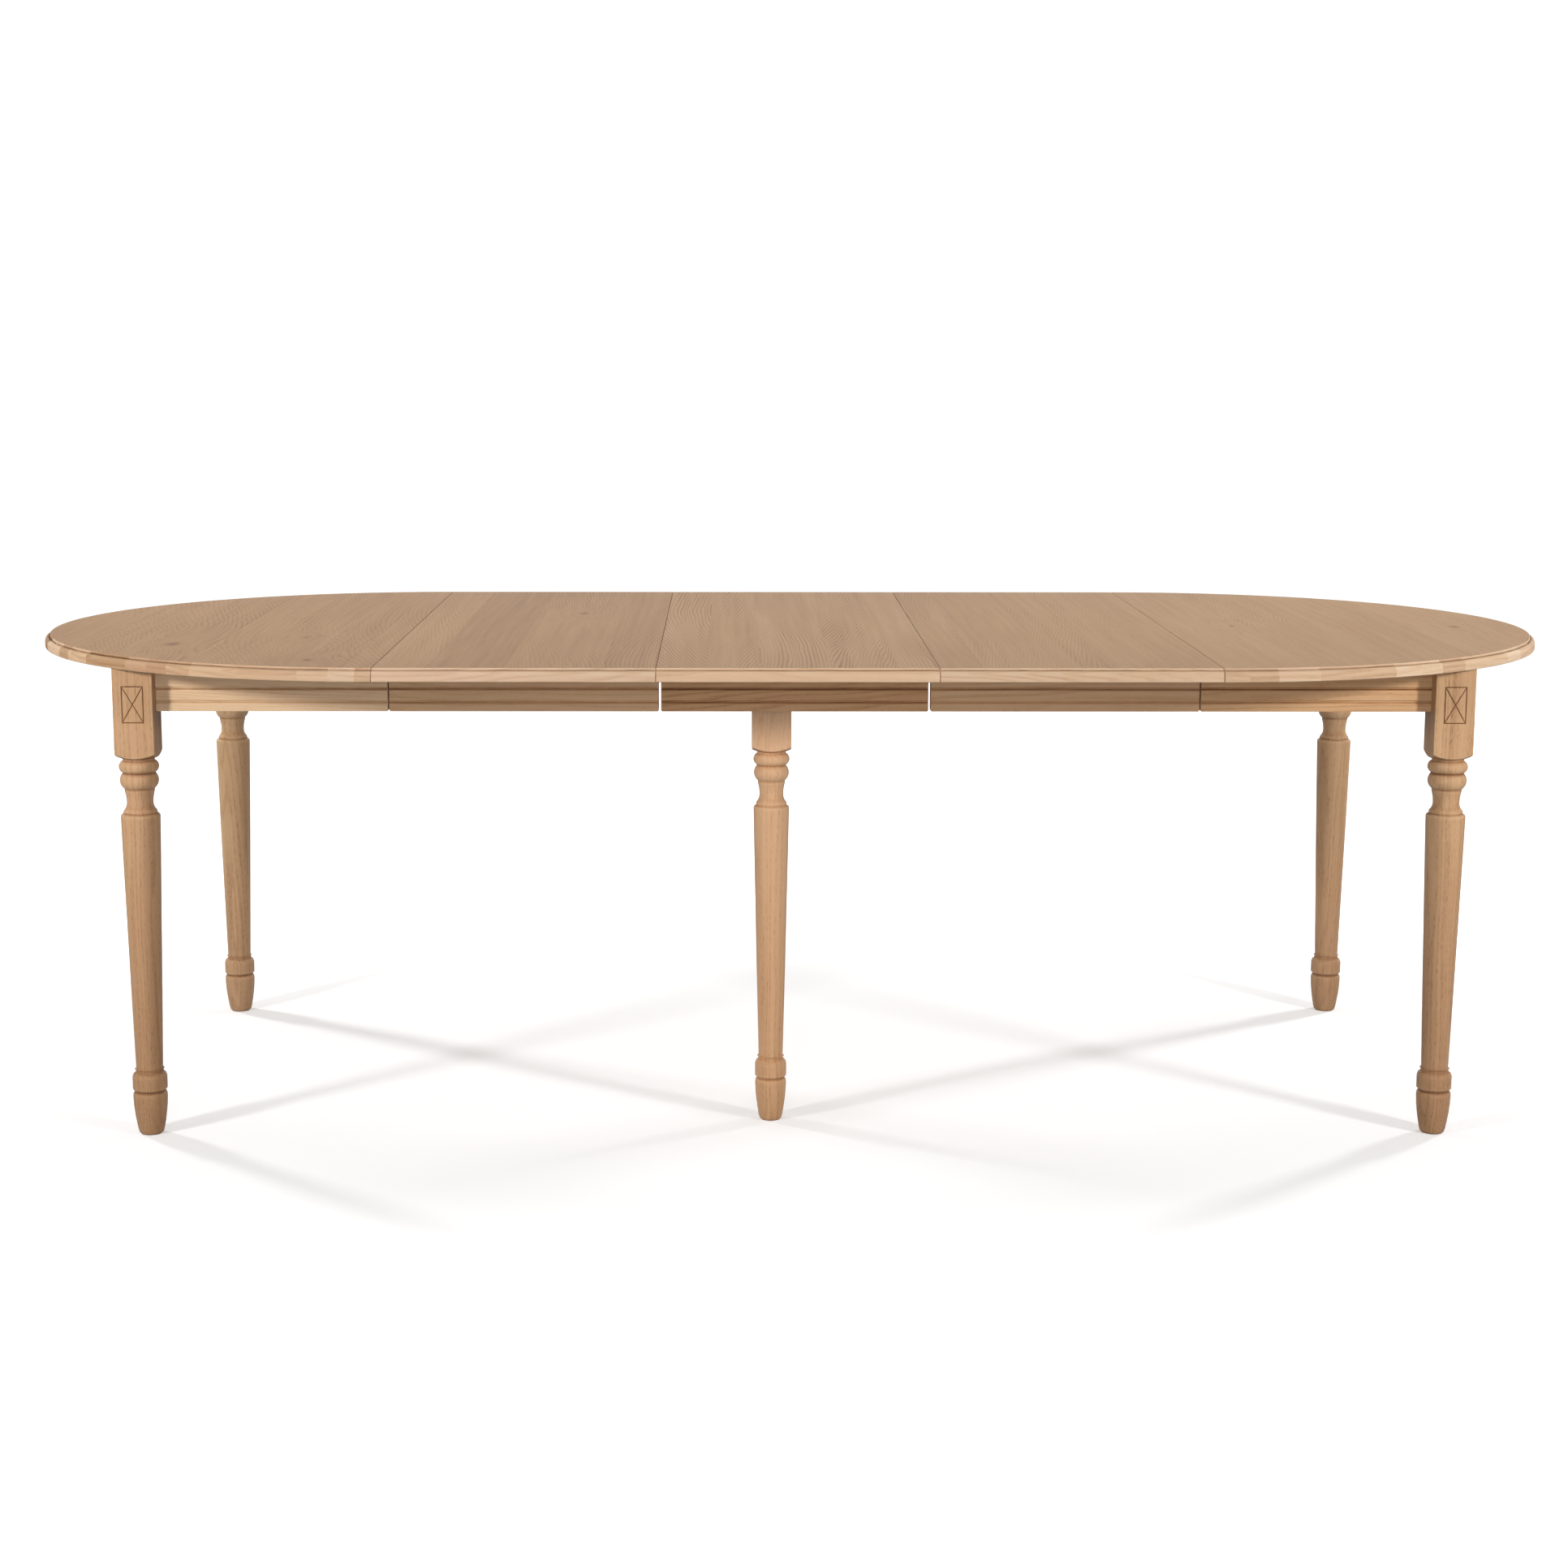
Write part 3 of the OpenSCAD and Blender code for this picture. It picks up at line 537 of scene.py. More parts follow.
def leafTop(node, body, finishes):
    # the front path and its mirror image joined in one loop and carried along X
    low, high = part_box(node)
    path = rimPath(high.z - low.z)
    ease = rimShape["seamEase"]
    near = np.array([0, ease, rimShape["seamDark"]])
    wide = high.x - low.x
    rows = np.concatenate([near, np.linspace(0.02, wide - 0.02, 9), wide - near[::-1]])

    def loop(shape):
        front = np.column_stack([-(high.y + shape[:, 0]), low.z + shape[:, 1]])
        back = np.column_stack([high.y + shape[:, 0], low.z + shape[:, 1]])[::-1]
        return np.concatenate([front, back])

    whole, small = loop(path), loop(shrinkPath(path, ease))
    inset = (rows == rows[0]) | (rows == rows[-1])
    section = np.where(inset[:, None, None], small[None], whole[None])
    nu, nv = section.shape[:2]
    x = np.broadcast_to((low.x + rows)[:, None], (nu, nv))
    points = np.concatenate([x[..., None], section], -1)
    strip = np.concatenate([path, path[::-1]])
    marks = np.stack(np.broadcast_arrays(strip[:, 0], strip[:, 1], x), -1)
    edge = np.broadcast_to(strip[:, 2], (nu, nv)).copy()
    edge[inset] = rimShape["seamMark"]
    edge[[1, -2]] = rimShape["besideSeam"]
    oneSide = rimFinish(path)
    kinds = np.concatenate([oneSide, [0], oneSide[::-1], [0]])
    return makePiece(node + ".board", [{**loopShell(points, edge, kinds), "run": marks}],
                     body, finishes, [node])


pinHoles = {"pin": 0.004, "bore": 0.00435, "depth": 0.0155, "past": 0.002, "sides": 32}
pinsIn = {"leaf_1_top": "left_pins", "leaf_2_top": "leaf_1_pins",
          "leaf_3_top": "leaf_2_pins", "right_top": "leaf_3_pins"}


def boreHoles(piece, pinsNode, seam):
    # cylinders r*(cos a, sin a) along X, round the three pins, taken out of the left edge
    low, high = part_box(pinsNode)
    ys = (low.y + pinHoles["pin"], (low.y + high.y) / 2, high.y - pinHoles["pin"])
    sides = pinHoles["sides"]
    angle = np.linspace(0, 2 * np.pi, sides + 1)[:-1]
    ring = np.column_stack([np.cos(angle), np.sin(angle)]) * pinHoles["bore"]
    ends = np.array([seam - pinHoles["past"], seam + pinHoles["depth"]])
    points, faces = [], []
    for k, y in enumerate(ys):
        tube = np.stack(np.broadcast_arrays(ends[:, None], y + ring[:, 0],
                                            (low.z + high.z) / 2 + ring[:, 1]), -1)
        points.append(tube.reshape(-1, 3))
        index = np.arange(2 * sides).reshape(2, sides) + 2 * sides * k
        faces += (gridFaces(2, sides, closeV=True) + 2 * sides * k).tolist()
        faces += index.tolist()
    mesh = bpy.data.meshes.new("pinCutter")
    mesh.from_pydata(np.concatenate(points).tolist(), [], faces)
    turnOutwards(mesh)
    cutter = addObject("pinCutter", mesh)
    cut = piece.modifiers.new("pinHoles", "BOOLEAN")
    cut.operation, cut.solver, cut.object = "DIFFERENCE", "EXACT", cutter
    bpy.context.view_layer.update()
    ready = piece.evaluated_get(bpy.context.evaluated_depsgraph_get())
    bored = bpy.data.meshes.new_from_object(ready)
    piece.modifiers.clear()
    piece.data = bored
    bpy.data.objects.remove(cutter)


# joints along X and each board's lightness, left to right
topBoards = {
    "left_top": {"span": (-1.22, -0.61), "joints": (-1.094, -0.994, -0.902, -0.812, -0.728,
                                                     -0.662),
                 "tones": (0.46, 0.54, 0.44, 0.55, 0.50, 0.45, 0.55), "seed": 1.3,
                 "knots": ((-0.966, -0.285, 0.010), (-0.725, -0.495, 0.006),
                           (-0.773, -0.190, 0.004)), "tone": 0.50, "heart": (0.02, -0.10)},
    "leaf_1_top": {"span": (-0.62, -0.20), "joints": (-0.539, -0.428, -0.284),
                   "tones": (0.62, 0.40, 0.50, 0.46), "seed": 2.6,
                   "knots": ((-0.350, 0.190, 0.007),), "tone": 0.50, "heart": (0.30, -0.04)},
    "leaf_2_top": {"span": (-0.21, 0.21), "joints": (-0.132, -0.055, 0.050, 0.146),
                   "tones": (0.58, 0.46, 0.54, 0.44, 0.58), "seed": 3.1, "tone": 0.57,
                   "heart": (0.40, -0.03), "rings": 0.14},
    "leaf_3_top": {"span": (0.20, 0.62), "joints": (0.268, 0.384, 0.462, 0.546),
                   "tones": (0.42, 0.53, 0.57, 0.50, 0.47), "seed": 4.4, "tone": 0.55,
                   "heart": (0.26, -0.06)},
    "right_top": {"span": (0.61, 1.22), "joints": (0.672, 0.731, 0.855, 0.905, 1.022, 1.104),
                  "tones": (0.57, 0.62, 0.48, 0.56, 0.52, 0.60, 0.54), "seed": 5.2,
                  "knots": ((1.103, -0.019, 0.007), (0.735, -0.009, 0.005)), "tone": 0.56,
                  "heart": (0.10, -0.09)},
}
topLook = {"grain": "Y", "rings": 0.06, "bands": 0.07, "fibre": 0.20, "pores": 0.10,
           "blotch": 0.16, "boardTone": 0.26, "rough": (0.42, 0.55), "bump": 0.2,
           "gloss": 0.36, "rosy": 0.10, "ringWidth": 0.0046, "wander": 0.022, "worn": 0.08,
           "paintedShade": 0.16, "stain": (0.99, 0.945, 0.835)}
rimLooks = {
    "left_top": {"blocks": 0.062, "seed": 7.0, "tone": 0.55, "boardTone": 0.42,
                 "stain": (1.04, 1.13, 1.24)},
    "leaf_1_top": {"seed": 8.0, "tone": 0.66, "rosy": 0.8, "stain": (1.10, 1.23, 1.38)},
    "leaf_2_top": {"seed": 9.0, "tone": 0.68, "rosy": 0.7, "stain": (1.13, 1.22, 1.32)},
    "leaf_3_top": {"seed": 10.0, "tone": 0.66, "blotch": 0.34, "rosy": 0.4,
                   "stain": (1.07, 1.17, 1.30)},
    "right_top": {"blocks": 0.070, "seed": 12.0, "tone": 0.62, "boardTone": 0.32,
                  "stain": (1.09, 1.22, 1.38)},
}
rimLook = {"onRim": True, "grain": "Z", "rings": 0.08, "fibre": 0.22, "pores": 0.10,
           "blotch": 0.2, "worn": 0.12, "paintedShade": 0.22, "rough": (0.46, 0.60), "gloss": 0.25,
           "heart": (0.06, -0.03), "tilt": 0.05, "ringWidth": 0.004}

for node, boards in topBoards.items():
    faceFinish = oakFinish(node + " face", {**topLook, **boards})
    edgeFinish = oakFinish(node + " rim", {**rimLook, **rimLooks[node]})
    if node.startswith("leaf"):
        piece = leafTop(node, node[:6], [faceFinish, edgeFinish])
    else:
        half = -1 if node == "left_top" else 1
        piece = halfTop(node, half, node.split("_")[0] + "_half", [faceFinish, edgeFinish])
    if node in pinsIn:
        boreHoles(piece, pinsIn[node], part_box(node)[0].x)
print("top, leaves and their moulded rim done")


apronShape = {
    "groove": 0.003,      # depth of both grooves
    "grooveRise": 0.006,  # height of a groove
    "lowBand": 0.011,     # plain band under the lower groove
    "midBand": 0.0144,    # plain band between the grooves
    "arris": 0.0006,
    "endRound": 0.0022,   # rounding of the lower corners at both ends
    "endEase": 0.0004,
    "liftedBand": 0.008,  # height over which that rounding fades out
}
apronLook = {"rings": 0.10, "fibre": 0.22, "pores": 0.16, "blotch": 0.24, "worn": 0.16,
             "rough": (0.44, 0.58), "ringWidth": 0.0052, "heart": (0.0, 0.66), "tilt": 0.04,
             "paintedShade": 0.42}


def apronPath(thick, tall):
    # inner face is 0 and the moulded face is at the board's thickness; each groove drops back
    # square at its top and sweeps out to the face again
    s = apronShape
    g, low, rise = s["groove"], s["lowBand"], s["grooveRise"]
    high = low + rise + s["midBand"]
    a = s["arris"]
    # the negative edge marks in each groove are painted shade under its ledge, darker in the
    # upper groove; the positive marks are wear on the arrises
    return softPath([
        (0.004, tall, 0, 0), (thick, tall, a, 0.5),
        (thick, high + rise, a, 0.6), (thick - g, high + rise, 0.0004, -2.6),
        (thick - g * 0.62, high + rise * 0.42, 0.0014, -1.7), (thick, high, a, 0.5),
        (thick, low + rise, a, 0.6), (thick - g, low + rise, 0.0004, -1.8),
        (thick - g * 0.62, low + rise * 0.42, 0.0014, -1.0), (thick, low, a, 0.5),
        (thick, 0, 0.0010, 1.0), (0, 0, a, 0.5), (0, tall, a, 0.2), (0.004, tall, 0, 0)], 5)


def apronBoard(node, way, finish, body):
    # the moulded path carried along X or Y; the last stations shrink to ease both ends
    low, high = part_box(node)
    alongX = way in ("front", "back")
    outward = -1 if way in ("front", "left") else 1
    start, stop = (low.x, high.x) if alongX else (low.y, high.y)
    outer = {"front": low.y, "back": high.y, "left": low.x, "right": high.x}[way]
    thick = (high.y - low.y) if alongX else (high.x - low.x)
    path = apronPath(thick, high.z - low.z)[:-1]
    ease, curve = apronShape["endEase"], apronShape["endRound"]
    near = np.array([0, ease, curve * 0.3, curve * 0.6, curve, 0.01])
    rows = np.concatenate([start + near, np.linspace(start, stop, 9)[1:-1],
                           (stop - near)[::-1]])
    inset = (rows == start) | (rows == stop)
    small = shrinkPath(np.concatenate([path[-1:], path, path[:1]]), ease)[1:-1]
    shape = np.where(inset[:, None, None], small[None], path[None, :, :2])
    # lower corners: a quarter circle of height c - sqrt(c*c - (c-d)^2) lifts the lowest band
    d = np.minimum(np.minimum(rows - start, stop - rows), curve)
    lift = (curve - np.sqrt(np.maximum(curve ** 2 - (curve - d) ** 2, 0)))[:, None]
    rise, band = shape[..., 1], apronShape["liftedBand"]
    rise = np.where(rise < band, lift + rise * (band - lift) / band, rise)
    flat = outer + outward * (shape[..., 0] - thick)
    run = np.broadcast_to(rows[:, None], rise.shape)
    points = np.stack([run, flat, low.z + rise] if alongX else [flat, run, low.z + rise], -1)
    edge = np.broadcast_to(path[:, 2], rise.shape).copy()
    edge[inset] = 0.5
    return makePiece(node + ".board", [loopShell(points, edge)], body, [finish],
                     [node])


plainStain, deepStain = (1.0, 0.97, 0.88), (0.98, 0.89, 0.76)
aprons = {  # the way each one faces, its place in the tree, lightness and stain
    "left_front_apron": ("front", 0.3, 0.84, (1.08, 1.12, 1.08)),
    "leaf_1_front_apron": ("front", 1.9, 0.76, plainStain),
    "leaf_2_front_apron": ("front", 3.7, 0.56, deepStain),
    "leaf_3_front_apron": ("front", 5.1, 0.74, plainStain),
    "right_front_apron": ("front", 6.4, 0.68, deepStain),
    "left_back_apron": ("back", 8.2, 0.64, plainStain),
    "leaf_1_back_apron": ("back", 9.1, 0.66, plainStain),
    "leaf_2_back_apron": ("back", 10.3, 0.60, deepStain),
    "leaf_3_back_apron": ("back", 11.6, 0.66, plainStain),
    "right_back_apron": ("back", 12.2, 0.64, plainStain),
    "left_end_apron": ("left", 13.4, 0.66, plainStain),
    "right_end_apron": ("right", 14.9, 0.64, plainStain),
}
bodyOf = {node: body for body, nodes in frame["record"]["behaviour"]["bodies"].items()
          for node in nodes}
for node, (way, seed, tone, stain) in aprons.items():
    grain = "X" if way in ("front", "back") else "Y"
    finish = oakFinish(node + " oak", {**apronLook, "grain": grain, "seed": seed,
                                       "tone": tone, "stain": stain})
    apronBoard(node, way, finish, bodyOf[node])
print("aprons done")


legShape = {
    "block": 0.133,       # height of the square block
    "dome": 0.075,        # radius of the dome under it
    "corner": 0.0014,     # easing of the block's upright corners
    "columns": 112,       # round the turning
}
# dark sets the painted shade along the engraved lines
engraving = {"wide": 0.032, "tall": 0.055, "rise": 0.0095, "line": 0.0021, "deep": 0.0012,
             "dark": 1.8, "above": 0.030, "columns": 75, "rows": 121}
legLook = {"grain": "Z", "rings": 0.045, "bands": 0.20, "uneven": 3.2, "fibre": 0.18,
           "pores": 0.34, "blotch": 0.28, "streak": 60.0, "worn": 0.14,
           "rough": (0.28, 0.42), "heart": (0.04, -0.05), "tilt": 0.05, "ringWidth": 0.0078,
           "gloss": 0.5, "footShade": 0.20, "paintedShade": 0.46, "stain": (0.99, 0.99, 0.96)}


turning = {  # d is measured down from the block and z up from the floor
    "beads": ((0.0222, 0.0102, 0.0303), (0.0435, 0.0163, 0.0293), (0.0993, 0.004, 0.0299)),
    "lengths": ((0.002, 0.032, 0.024), (0.030, 0.056, 0.0234), (0.054, 0.060, 0.0227),
                (0.060, 0.0942, 0.0256), (0.0942, 0.104, 0.0255)),
    "rings": ((0.0925, 0.0955, 0.0254), (0.0954, 0.1036, 0.025)),
    "taper": (0.0993, 0.1035),                # its top as d and its lower end as z
    "taperRadius": (0.0299, 0.0095, 0.0014),  # at the top, what it loses, its swelling
    "footZ": (0, 0.0022, 0.007, 0.020, 0.033, 0.046, 0.0605, 0.0646, 0.0666, 0.0687, 0.0714,
              0.0722, 0.0922, 0.093),
    "footRadius": (16.0, 18.4, 20.0, 22.4, 24.3, 25.7, 26.4, 26.0, 24.4, 23.0, 25.8, 26.6,
                   26.6, 26.0),               # in millimetres
    "neck": (0.0782, 0.020),                  # d and radius of the thinnest place
    "soft": 0.001,                            # rows closer than this are averaged
}


def turnedRadius(z, k, top):
    # the widest of the beads and plain lengths at each height, less the hollows between them;
    # a bead of radius b with its middle at m and its peak p reaches p - b + sqrt(b*b - (z-m)^2)
    d = top - z

    def bead(middle, b, peak):
        inside = b * b - (d - middle) ** 2
        return np.where(inside > 0, peak * k - b + np.sqrt(np.maximum(inside, 0)), 0)

    taperTop, taperLow = top - turning["taper"][0], turning["taper"][1]
    t = np.clip((taperTop - z) / (taperTop - taperLow), 0, 1)
    wide, loss, swell = turning["taperRadius"]
    parts = [np.where((z <= taperTop) & (z >= taperLow),
                      (wide - loss * t + swell * t * (1 - t)) * k, 0)]
    parts += [bead(*b) for b in turning["beads"]]
    parts += [np.where((d >= first) & (d <= last), radius * k, 0)
              for first, last, radius in turning["lengths"]]
    parts += [np.where((z > first) & (z <= last), radius * k, 0)
              for first, last, radius in turning["rings"]]
    foot = np.interp(z, turning["footZ"], np.array(turning["footRadius"]) / 1000) * k
    parts.append(np.where(z <= turning["footZ"][-1], foot, 0))

    def hollow(least, middle, rad, first, last):
        reach = rad * rad - (z - middle) ** 2
        wall = least * k + rad - np.sqrt(np.maximum(reach, 0))
        return np.where((z >= first) & (z <= last) & (reach > 0), wall, 1.0)

    neck, thin = top - turning["neck"][0], turning["neck"][1]
    return np.minimum.reduce([
        np.maximum.reduce(parts), hollow(thin, neck, 0.0627, neck, top - 0.060),
        hollow(thin, neck, 0.0167, top - 0.0904, neck),
        hollow(0.0204, taperLow, 0.009, 0.0955, taperLow)])


def turnedShell(middle, k, top):
    fine = np.concatenate([np.linspace(0, 0.112, 150), np.linspace(0.116, top - 0.112, 26),
                           np.linspace(top - 0.108, top - 0.003, 150)])
    steps = np.array([0.0925, 0.0955, 0.1035, top - 0.0942, top - 0.060])
    fine = np.sort(np.concatenate([fine, steps - 0.00006, steps + 0.00006]))
    radius = turnedRadius(fine, k, top)
    # soften by one pass of a three point average where neighbours lie close together
    close = np.abs(np.gradient(fine)) < turning["soft"]
    smooth = np.where(close, np.convolve(np.pad(radius, 1, "edge"), [0.25, 0.5, 0.25],
                                         "valid"), radius)
    # proud beads get + (wear), grooves get - (painted shade): the radius against its own
    # average over 12 mm
    even = np.linspace(0, top, 1200)
    level = turnedRadius(even, k, top)
    window = np.ones(25) / 25
    mean = np.convolve(np.pad(level, 12, "edge"), window, "valid")
    edge = np.interp(fine, even, np.clip((level - mean) / 0.0022, -1.8, 0.8))
    angle = np.linspace(0, 2 * np.pi, legShape["columns"] + 1)[:-1][None]
    points = np.stack(np.broadcast_arrays(middle.x + smooth[:, None] * np.cos(angle),
                                          middle.y + smooth[:, None] * np.sin(angle),
                                          fine[:, None]), -1)
    return loopShell(points, np.broadcast_to(edge[:, None], points.shape[:2]))


def engravedDepth(s, z, middle):
    # depth * (1 - distance / half line) to the nearest of the box's sides and diagonals
    e = engraving
    w, h = e["wide"] / 2, e["tall"] / 2
    v = z - middle
    corners = [(-w, -h), (w, -h), (w, h), (-w, h)]
    nearest = np.full(np.broadcast(s, v).shape, 1.0)
    for a, b in ((0, 1), (1, 2), (2, 3), (3, 0), (0, 2), (1, 3)):
        (ax, az), (bx, bz) = corners[a], corners[b]
        dx, dz = bx - ax, bz - az
        t = np.clip(((s - ax) * dx + (v - az) * dz) / (dx * dx + dz * dz), 0, 1)
        nearest = np.minimum(nearest, np.hypot(s - ax - t * dx, v - az - t * dz))
    return np.clip(1 - nearest / (e["line"] / 2), 0, 1)


def blockShell(middle, half, top, bottom, engraved):
    # rounded square times height, closed below by the dome sqrt(R*R - r*r) under its centre
    c = legShape["corner"]
    ball = bottom + math.sqrt(legShape["dome"] ** 2 - 2 * half * half)
    outline, normal, sides, across = [], [], [], []
    edgeOf = []
    for k in range(4):
        n = np.round([math.cos(k * math.pi / 2), math.sin(k * math.pi / 2)])
        t = np.array([-n[1], n[0]])
        flat = half - c
        if k in engraved:
            inner = np.linspace(-0.0185, 0.0185, engraving["columns"])
            s = np.concatenate([np.linspace(-flat, -0.021, 5), inner,
                                np.linspace(0.021, flat, 5)])
        else:
            s = np.linspace(-flat, flat, 13)
        outline.append(n * half + s[:, None] * t)
        sides.append(np.full(len(s), k))
        across.append(s)
        normal.append(np.tile(n, (len(s), 1)))
        edgeOf.append(np.clip((np.abs(s) - flat + 0.002) / 0.002, 0, 1) * 0.3)
        a = np.linspace(0, math.pi / 2, 6)[1:-1, None]
        way = np.cos(a) * n + np.sin(a) * t
        outline.append((n + t) * flat + way * c)
        sides.append(np.full(len(a), -1))
        across.append(np.ones(len(a)))
        normal.append(way)
        edgeOf.append(np.ones(len(a)))
    outline, normal = np.concatenate(outline), np.concatenate(normal)
    sides, across, edgeOf = (np.concatenate(v) for v in (sides, across, edgeOf))
    picture = bottom + legShape["block"] / 2 + engraving["rise"]  # middle of the cut box
    hang = top - 0.0006
    dense = np.linspace(picture + engraving["above"], picture - engraving["above"],
                        engraving["rows"] if engraved else 9)
    rows = np.concatenate([[hang], np.linspace(hang - 0.004, picture + 0.033, 4), dense,
                           np.linspace(picture - 0.034, bottom + 0.010, 6)])
    nv = len(outline)
    z = np.broadcast_to(rows[:, None], (len(rows), nv))
    reach = np.linalg.norm(outline, axis=1)
    lip = ball - np.sqrt(legShape["dome"] ** 2 - reach ** 2)
    tail = np.array([0.25, 0.5, 0.75, 0.92, 1.0])[:, None]
    z = np.concatenate([z, (bottom + 0.010) * (1 - tail) + (lip + 0.0007)[None] * tail])
    depth = np.zeros_like(z)
    for k in engraved:
        on = sides == k
        depth[:, on] = engravedDepth(across[None, on], z[:, on], picture)
    xy = outline[None] - normal[None] * (depth * engraving["deep"])[..., None]
    # painted shade: the engraved lines are painted darker by engraving['dark']
    edge = np.broadcast_to(edgeOf, z.shape) - depth * engraving["dark"]
    edge[-1] = 1.0
    # dome: the outline shrinks to a point while its height follows the ball
    share = np.array([1 - 0.0007 / half, 0.95, 0.88, 0.8, 0.7, 0.6, 0.45, 0.3, 0.12])[:, None]
    domeXy = outline[None] * share[..., None]
    domeZ = ball - np.sqrt(legShape["dome"] ** 2 - (reach[None] * share) ** 2)
    cap = outline[None] * (1 - 0.0006 / half)
    xy = np.concatenate([cap, xy, domeXy])
    z = np.concatenate([np.full((1, nv), top), z, domeZ])
    # painted shade under the block: the dome's underside is painted darker, and the row at its
    # lip keeps a little wear
    dark = np.where(share > 0.9, 0.2, -0.8) * np.ones((1, nv))
    edge = np.concatenate([np.full((1, nv), 0.5), edge, dark])
    points = np.concatenate([xy + [middle.x, middle.y], z[..., None]], -1)
    return loopShell(points, edge)


# 0 is the face towards +X, then round to 3, the face towards -Y
legs = {
    "left_front_leg": {"cut": (2, 3), "seed": 0.4, "tone": 0.53},
    "left_back_leg": {"cut": (1, 2), "seed": 1.2, "tone": 0.70},
    "right_front_leg": {"cut": (0, 3), "seed": 2.3, "tone": 0.55},
    "right_back_leg": {"cut": (0, 1), "seed": 3.6, "tone": 0.60},
    # the centre leg's higher tone is painted light: it lifts the block, which stands in the
    # shade of the apron and top
    "centre_leg": {"cut": (), "seed": 4.5, "tone": 0.88, "stain": (1.0, 0.91, 0.81),
                   "slim": 0.93},  # its turning beside the corner legs'
}
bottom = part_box("left_front_leg")[1].z - legShape["block"]
for node, leg in legs.items():
    low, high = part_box(node)
    middle = (low + high) / 2
    half = (high.x - low.x) / 2
    finish = oakFinish(node + " oak", {**legLook, **leg})
    block = blockShell(middle, half, high.z, bottom, leg["cut"])
    turned = turnedShell(middle, leg.get("slim", 1.0), bottom)
    makePiece(node + ".turned", [block, turned], bodyOf[node], [finish], [node])
print("legs done")


# runners, beam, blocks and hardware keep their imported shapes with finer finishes

beechPalette = ((0.2, (150, 112, 78)), (0.42, (184, 148, 110)), (0.72, (214, 184, 146)))


def beechFinish(name, grain, seed):
    # pale straight wood: long soft streaks and short darker flecks along the fibres
    finish, tree = newFinish(name)
    place = objectPlace(tree)
    parts = put(tree, "ShaderNodeSeparateXYZ", {0: place}).outputs
    order = {"X": (1, 2, 0), "Y": (0, 2, 1)}[grain]  # across, under, along the fibres
    flat = put(tree, "ShaderNodeCombineXYZ",
               {k: parts[axis] for k, axis in enumerate(order)}).outputs[0]
    flat = vectorCalc(tree, "ADD", flat, (seed, seed * 0.7, seed * 1.9))
    streak = figure(tree, flat, (90.0, 90.0, 1.6), 3.0, 0.55)
    fine = figure(tree, flat, (800.0, 800.0, 14.0), 2.0)
    fleck = spread(tree, figure(tree, flat, (900.0, 900.0, 160.0)), 0.62, 0.72, 0, 1, True)
    slow = figure(tree, flat, (6.0, 6.0, 1.5), 2.0)
    tone = calc(tree, "ADD", calc(tree, "MULTIPLY", streak, 0.5),
                calc(tree, "ADD", calc(tree, "MULTIPLY", fine, 0.25),
                     calc(tree, "MULTIPLY", slow, 0.35)))
    tone = calc(tree, "SUBTRACT", tone, calc(tree, "MULTIPLY", fleck, 0.25))
    colour = rampOf(tree, tone, [(at, tint(*shade)) for at, shade in beechPalette])
    bump = put(tree, "ShaderNodeBump", {"Height": fine, "Strength": 0.2, "Distance": 0.0002})
    giveShader(tree, {"Base Color": colour, "Normal": bump.outputs["Normal"],
                      "Roughness": spread(tree, fine, 0.2, 0.8, 0.5, 0.68)})
    return finish


def steelFinish(name):
    # zinc plate: cloudy grey with fine scratches in the roughness
    finish, tree = newFinish(name)
    place = objectPlace(tree)
    cloud = noise(tree, place, 160.0, 3.0)
    scratch = figure(tree, place, (3000.0, 400.0, 900.0), 2.0)
    colour = rampOf(tree, cloud, [(0.3, tint(150, 152, 156)), (0.7, tint(196, 198, 200))])
    giveShader(tree, {"Base Color": colour, "Metallic": 1.0,
                      "Roughness": spread(tree, scratch, 0.3, 0.7, 0.28, 0.46)})
    return finish


steel = steelFinish("zinc plated steel")
runnerWood = [beechFinish("runner wood %d" % k, "X", 1.7 * k) for k in range(3)]
beamWood = beechFinish("beam wood", "Y", 4.2)
replaced = set(topBoards) | set(aprons) | set(legs)
for count, (node, cad) in enumerate(sorted(frame["nodes"].items())):
    if node in replaced:
        continue
    if any(word in node for word in ("screws", "bolts", "washers", "nuts")):
        finish = steel
    elif node == "cross_beam":
        finish = beamWood
    else:
        finish = runnerWood[count % 3]
    cad.data.materials.clear()
    cad.data.materials.append(finish)
print("runners and hardware finished")


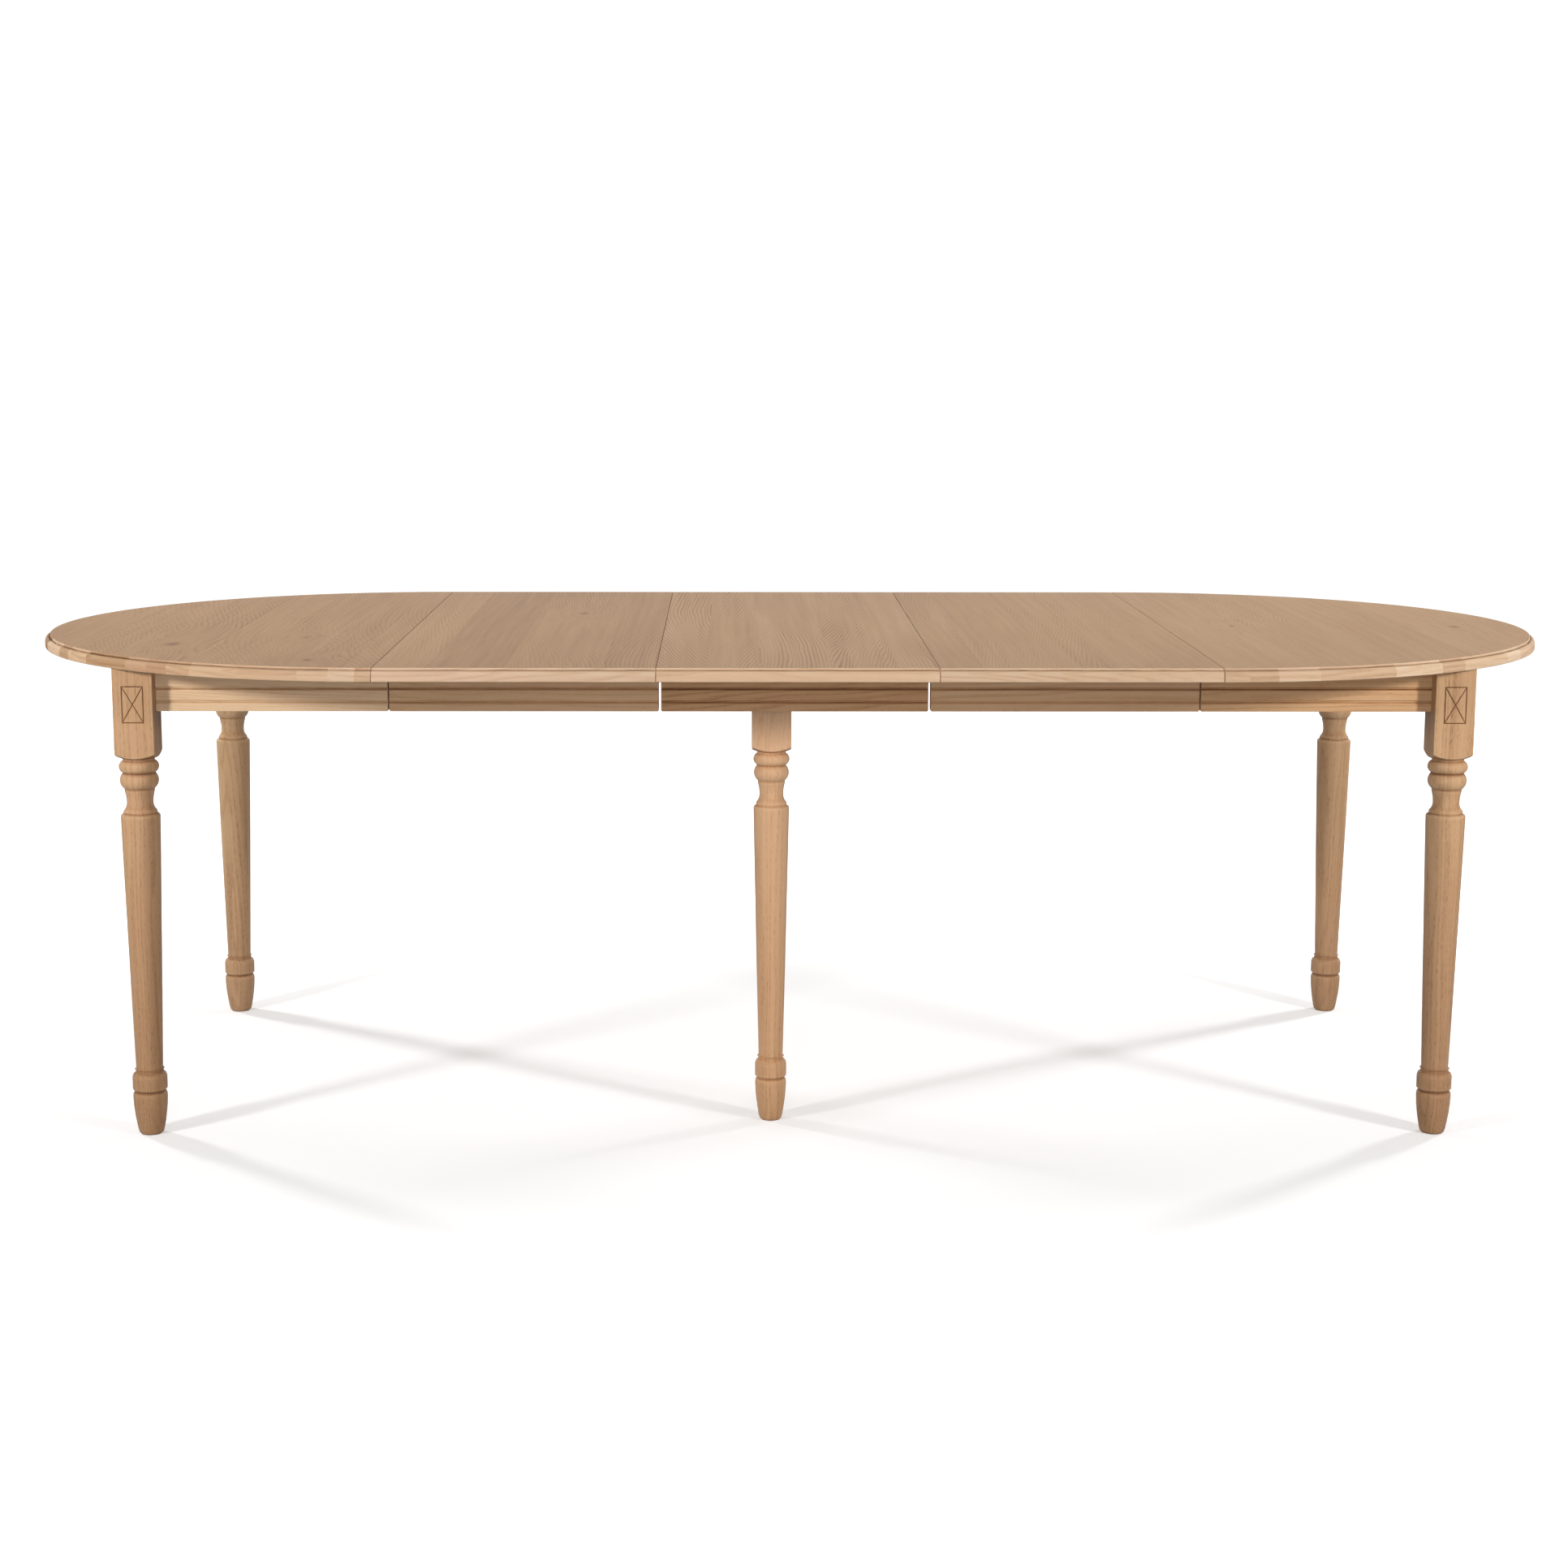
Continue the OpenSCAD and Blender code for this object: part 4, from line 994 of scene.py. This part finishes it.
studio = {
    "floor": 0.80,         # how light the camera sees the floor
    "bounce": 0.34,        # how light the floor is for everything else
    "glow": (0.33, 1.0),   # the floor's own light under the table and away from it
    "fade": (1.1, 2.3),    # from here to there the one turns into the other, m
    "sky": 0.13,
    "wall": 1.05,          # the plain background that the camera sees
    "lamps": {
        "frontLeft": {"at": (-3.4, -2.85, 1.75), "to": (-1.0, -0.3, 0.70), "watts": 14},
        "frontRight": {"at": (3.4, -2.85, 1.75), "to": (1.0, -0.3, 0.70), "watts": 14},
        "backLeft": {"at": (-3.6, 2.15, 1.9), "to": (-1.0, 0.3, 0.6), "watts": 12},
        "backRight": {"at": (3.6, 2.15, 1.9), "to": (1.0, 0.3, 0.6), "watts": 12},
        "front": {"at": (0.0, -4.8, 0.9), "to": (0.0, -0.4, 0.7), "watts": 14.5,
                  "size": (3.2, 0.6), "spread": 100},
        "key": {"at": (-0.4, -4.6, 1.5), "to": (0.0, -0.4, 0.6), "watts": 6,
                "size": (0.8, 0.6), "spread": 100, "shines": True},
        "backdrop": {"at": (0.0, 5.2, 1.7), "to": (0.0, 0.0, 1.2), "watts": 48,
                     "size": (9.0, 2.6), "spread": 180, "shines": True},
        "overhead": {"at": (0.0, 0.5, 4.2), "to": (0.0, 0.1, 0.7), "watts": 41,
                     "size": (5.0, 3.5), "spread": 180, "shines": True},
    },
    "size": (0.45, 0.4), "spread": 66,
}

floorMesh = bpy.data.meshes.new("floor")
floorMesh.from_pydata([(-30, -30, 0), (30, -30, 0), (30, 60, 0), (-30, 60, 0)], [],
                      [(0, 1, 2, 3)])
floor = addObject("floor", floorMesh)
floorFinish, tree = newFinish("pale floor")
seen = put(tree, "ShaderNodeLightPath").outputs["Is Camera Ray"]
place = stretch(tree, objectPlace(tree), (1.0, 1.5, 1.0))
away = spread(tree, vectorCalc(tree, "LENGTH", place, (0, 0, 0)), *studio["fade"],
              *studio["glow"], True)
shade = spread(tree, seen, 0, 1, studio["bounce"], studio["floor"])
shader = put(tree, "ShaderNodeBsdfPrincipled",
             {"Base Color": shade, "Roughness": 0.9, "Specular IOR Level": 0.1,
              "Emission Color": (1, 1, 1, 1),
              "Emission Strength": calc(tree, "MULTIPLY", away, seen)})
below = put(tree, "ShaderNodeNewGeometry").outputs["Backfacing"]
clear = put(tree, "ShaderNodeBsdfTransparent")
oneWay = put(tree, "ShaderNodeMixShader", {0: below, 1: shader.outputs[0],
                                           2: clear.outputs[0]})
put(tree, "ShaderNodeOutputMaterial", {"Surface": oneWay.outputs[0]})
floorMesh.materials.append(floorFinish)  # from underneath the floor is clear
floor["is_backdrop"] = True

world = bpy.data.worlds.new("soft room")
bpy.context.scene.world = world
world.use_nodes = True
world.node_tree.nodes.clear()
tree = world.node_tree
sky, wall = (put(tree, "ShaderNodeBackground", {"Color": (1, 1, 1, 1),
                                                "Strength": studio[part]}).outputs[0]
             for part in ("sky", "wall"))
seen = put(tree, "ShaderNodeLightPath").outputs["Is Camera Ray"]
both = put(tree, "ShaderNodeMixShader", {0: seen, 1: sky, 2: wall})
put(tree, "ShaderNodeOutputWorld", {"Surface": both.outputs[0]})

for name, box in studio["lamps"].items():
    lamp = bpy.data.lights.new(name, "AREA")
    lamp.shape = "RECTANGLE"
    lamp.size, lamp.size_y = box.get("size", studio["size"])
    lamp.spread = math.radians(box.get("spread", studio["spread"]))
    lamp.energy = box["watts"]
    holder = addObject(name, lamp)
    holder.location = box["at"]
    aim = Vector(box["to"]) - Vector(box["at"])
    holder.rotation_euler = aim.to_track_quat("-Z", "Y").to_euler()
    holder.visible_glossy = box.get("shines", False)  # small lamps leave no mirror image

view = {"at": (-0.0978, -4.5143, 1.2315), "yaw": 0.0069, "pitch": 0.1634, "roll": -0.0014,
        "lens": 62.57, "shift": 0.0223}
camera = bpy.data.cameras.new("camera")
camera.lens, camera.sensor_width, camera.shift_x = view["lens"], 36.0, view["shift"]
camera.clip_end = 200
eye = addObject("camera", camera)
cy, sy = math.cos(view["yaw"]), math.sin(view["yaw"])
cp, sp = math.cos(view["pitch"]), math.sin(view["pitch"])
ahead = Vector((sy * cp, cy * cp, -sp))
right = Vector((cy, -sy, 0))
down = ahead.cross(right)
cr, sr = math.cos(view["roll"]), math.sin(view["roll"])
right, down = cr * right + sr * down, cr * down - sr * right
eye.matrix_world = Matrix.Translation(view["at"]) @ Matrix(
    (right, -down, -ahead)).transposed().to_4x4()
bpy.context.scene.camera = eye
bpy.context.scene.view_settings.view_transform = "Standard"
print("stage set")

low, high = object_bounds()
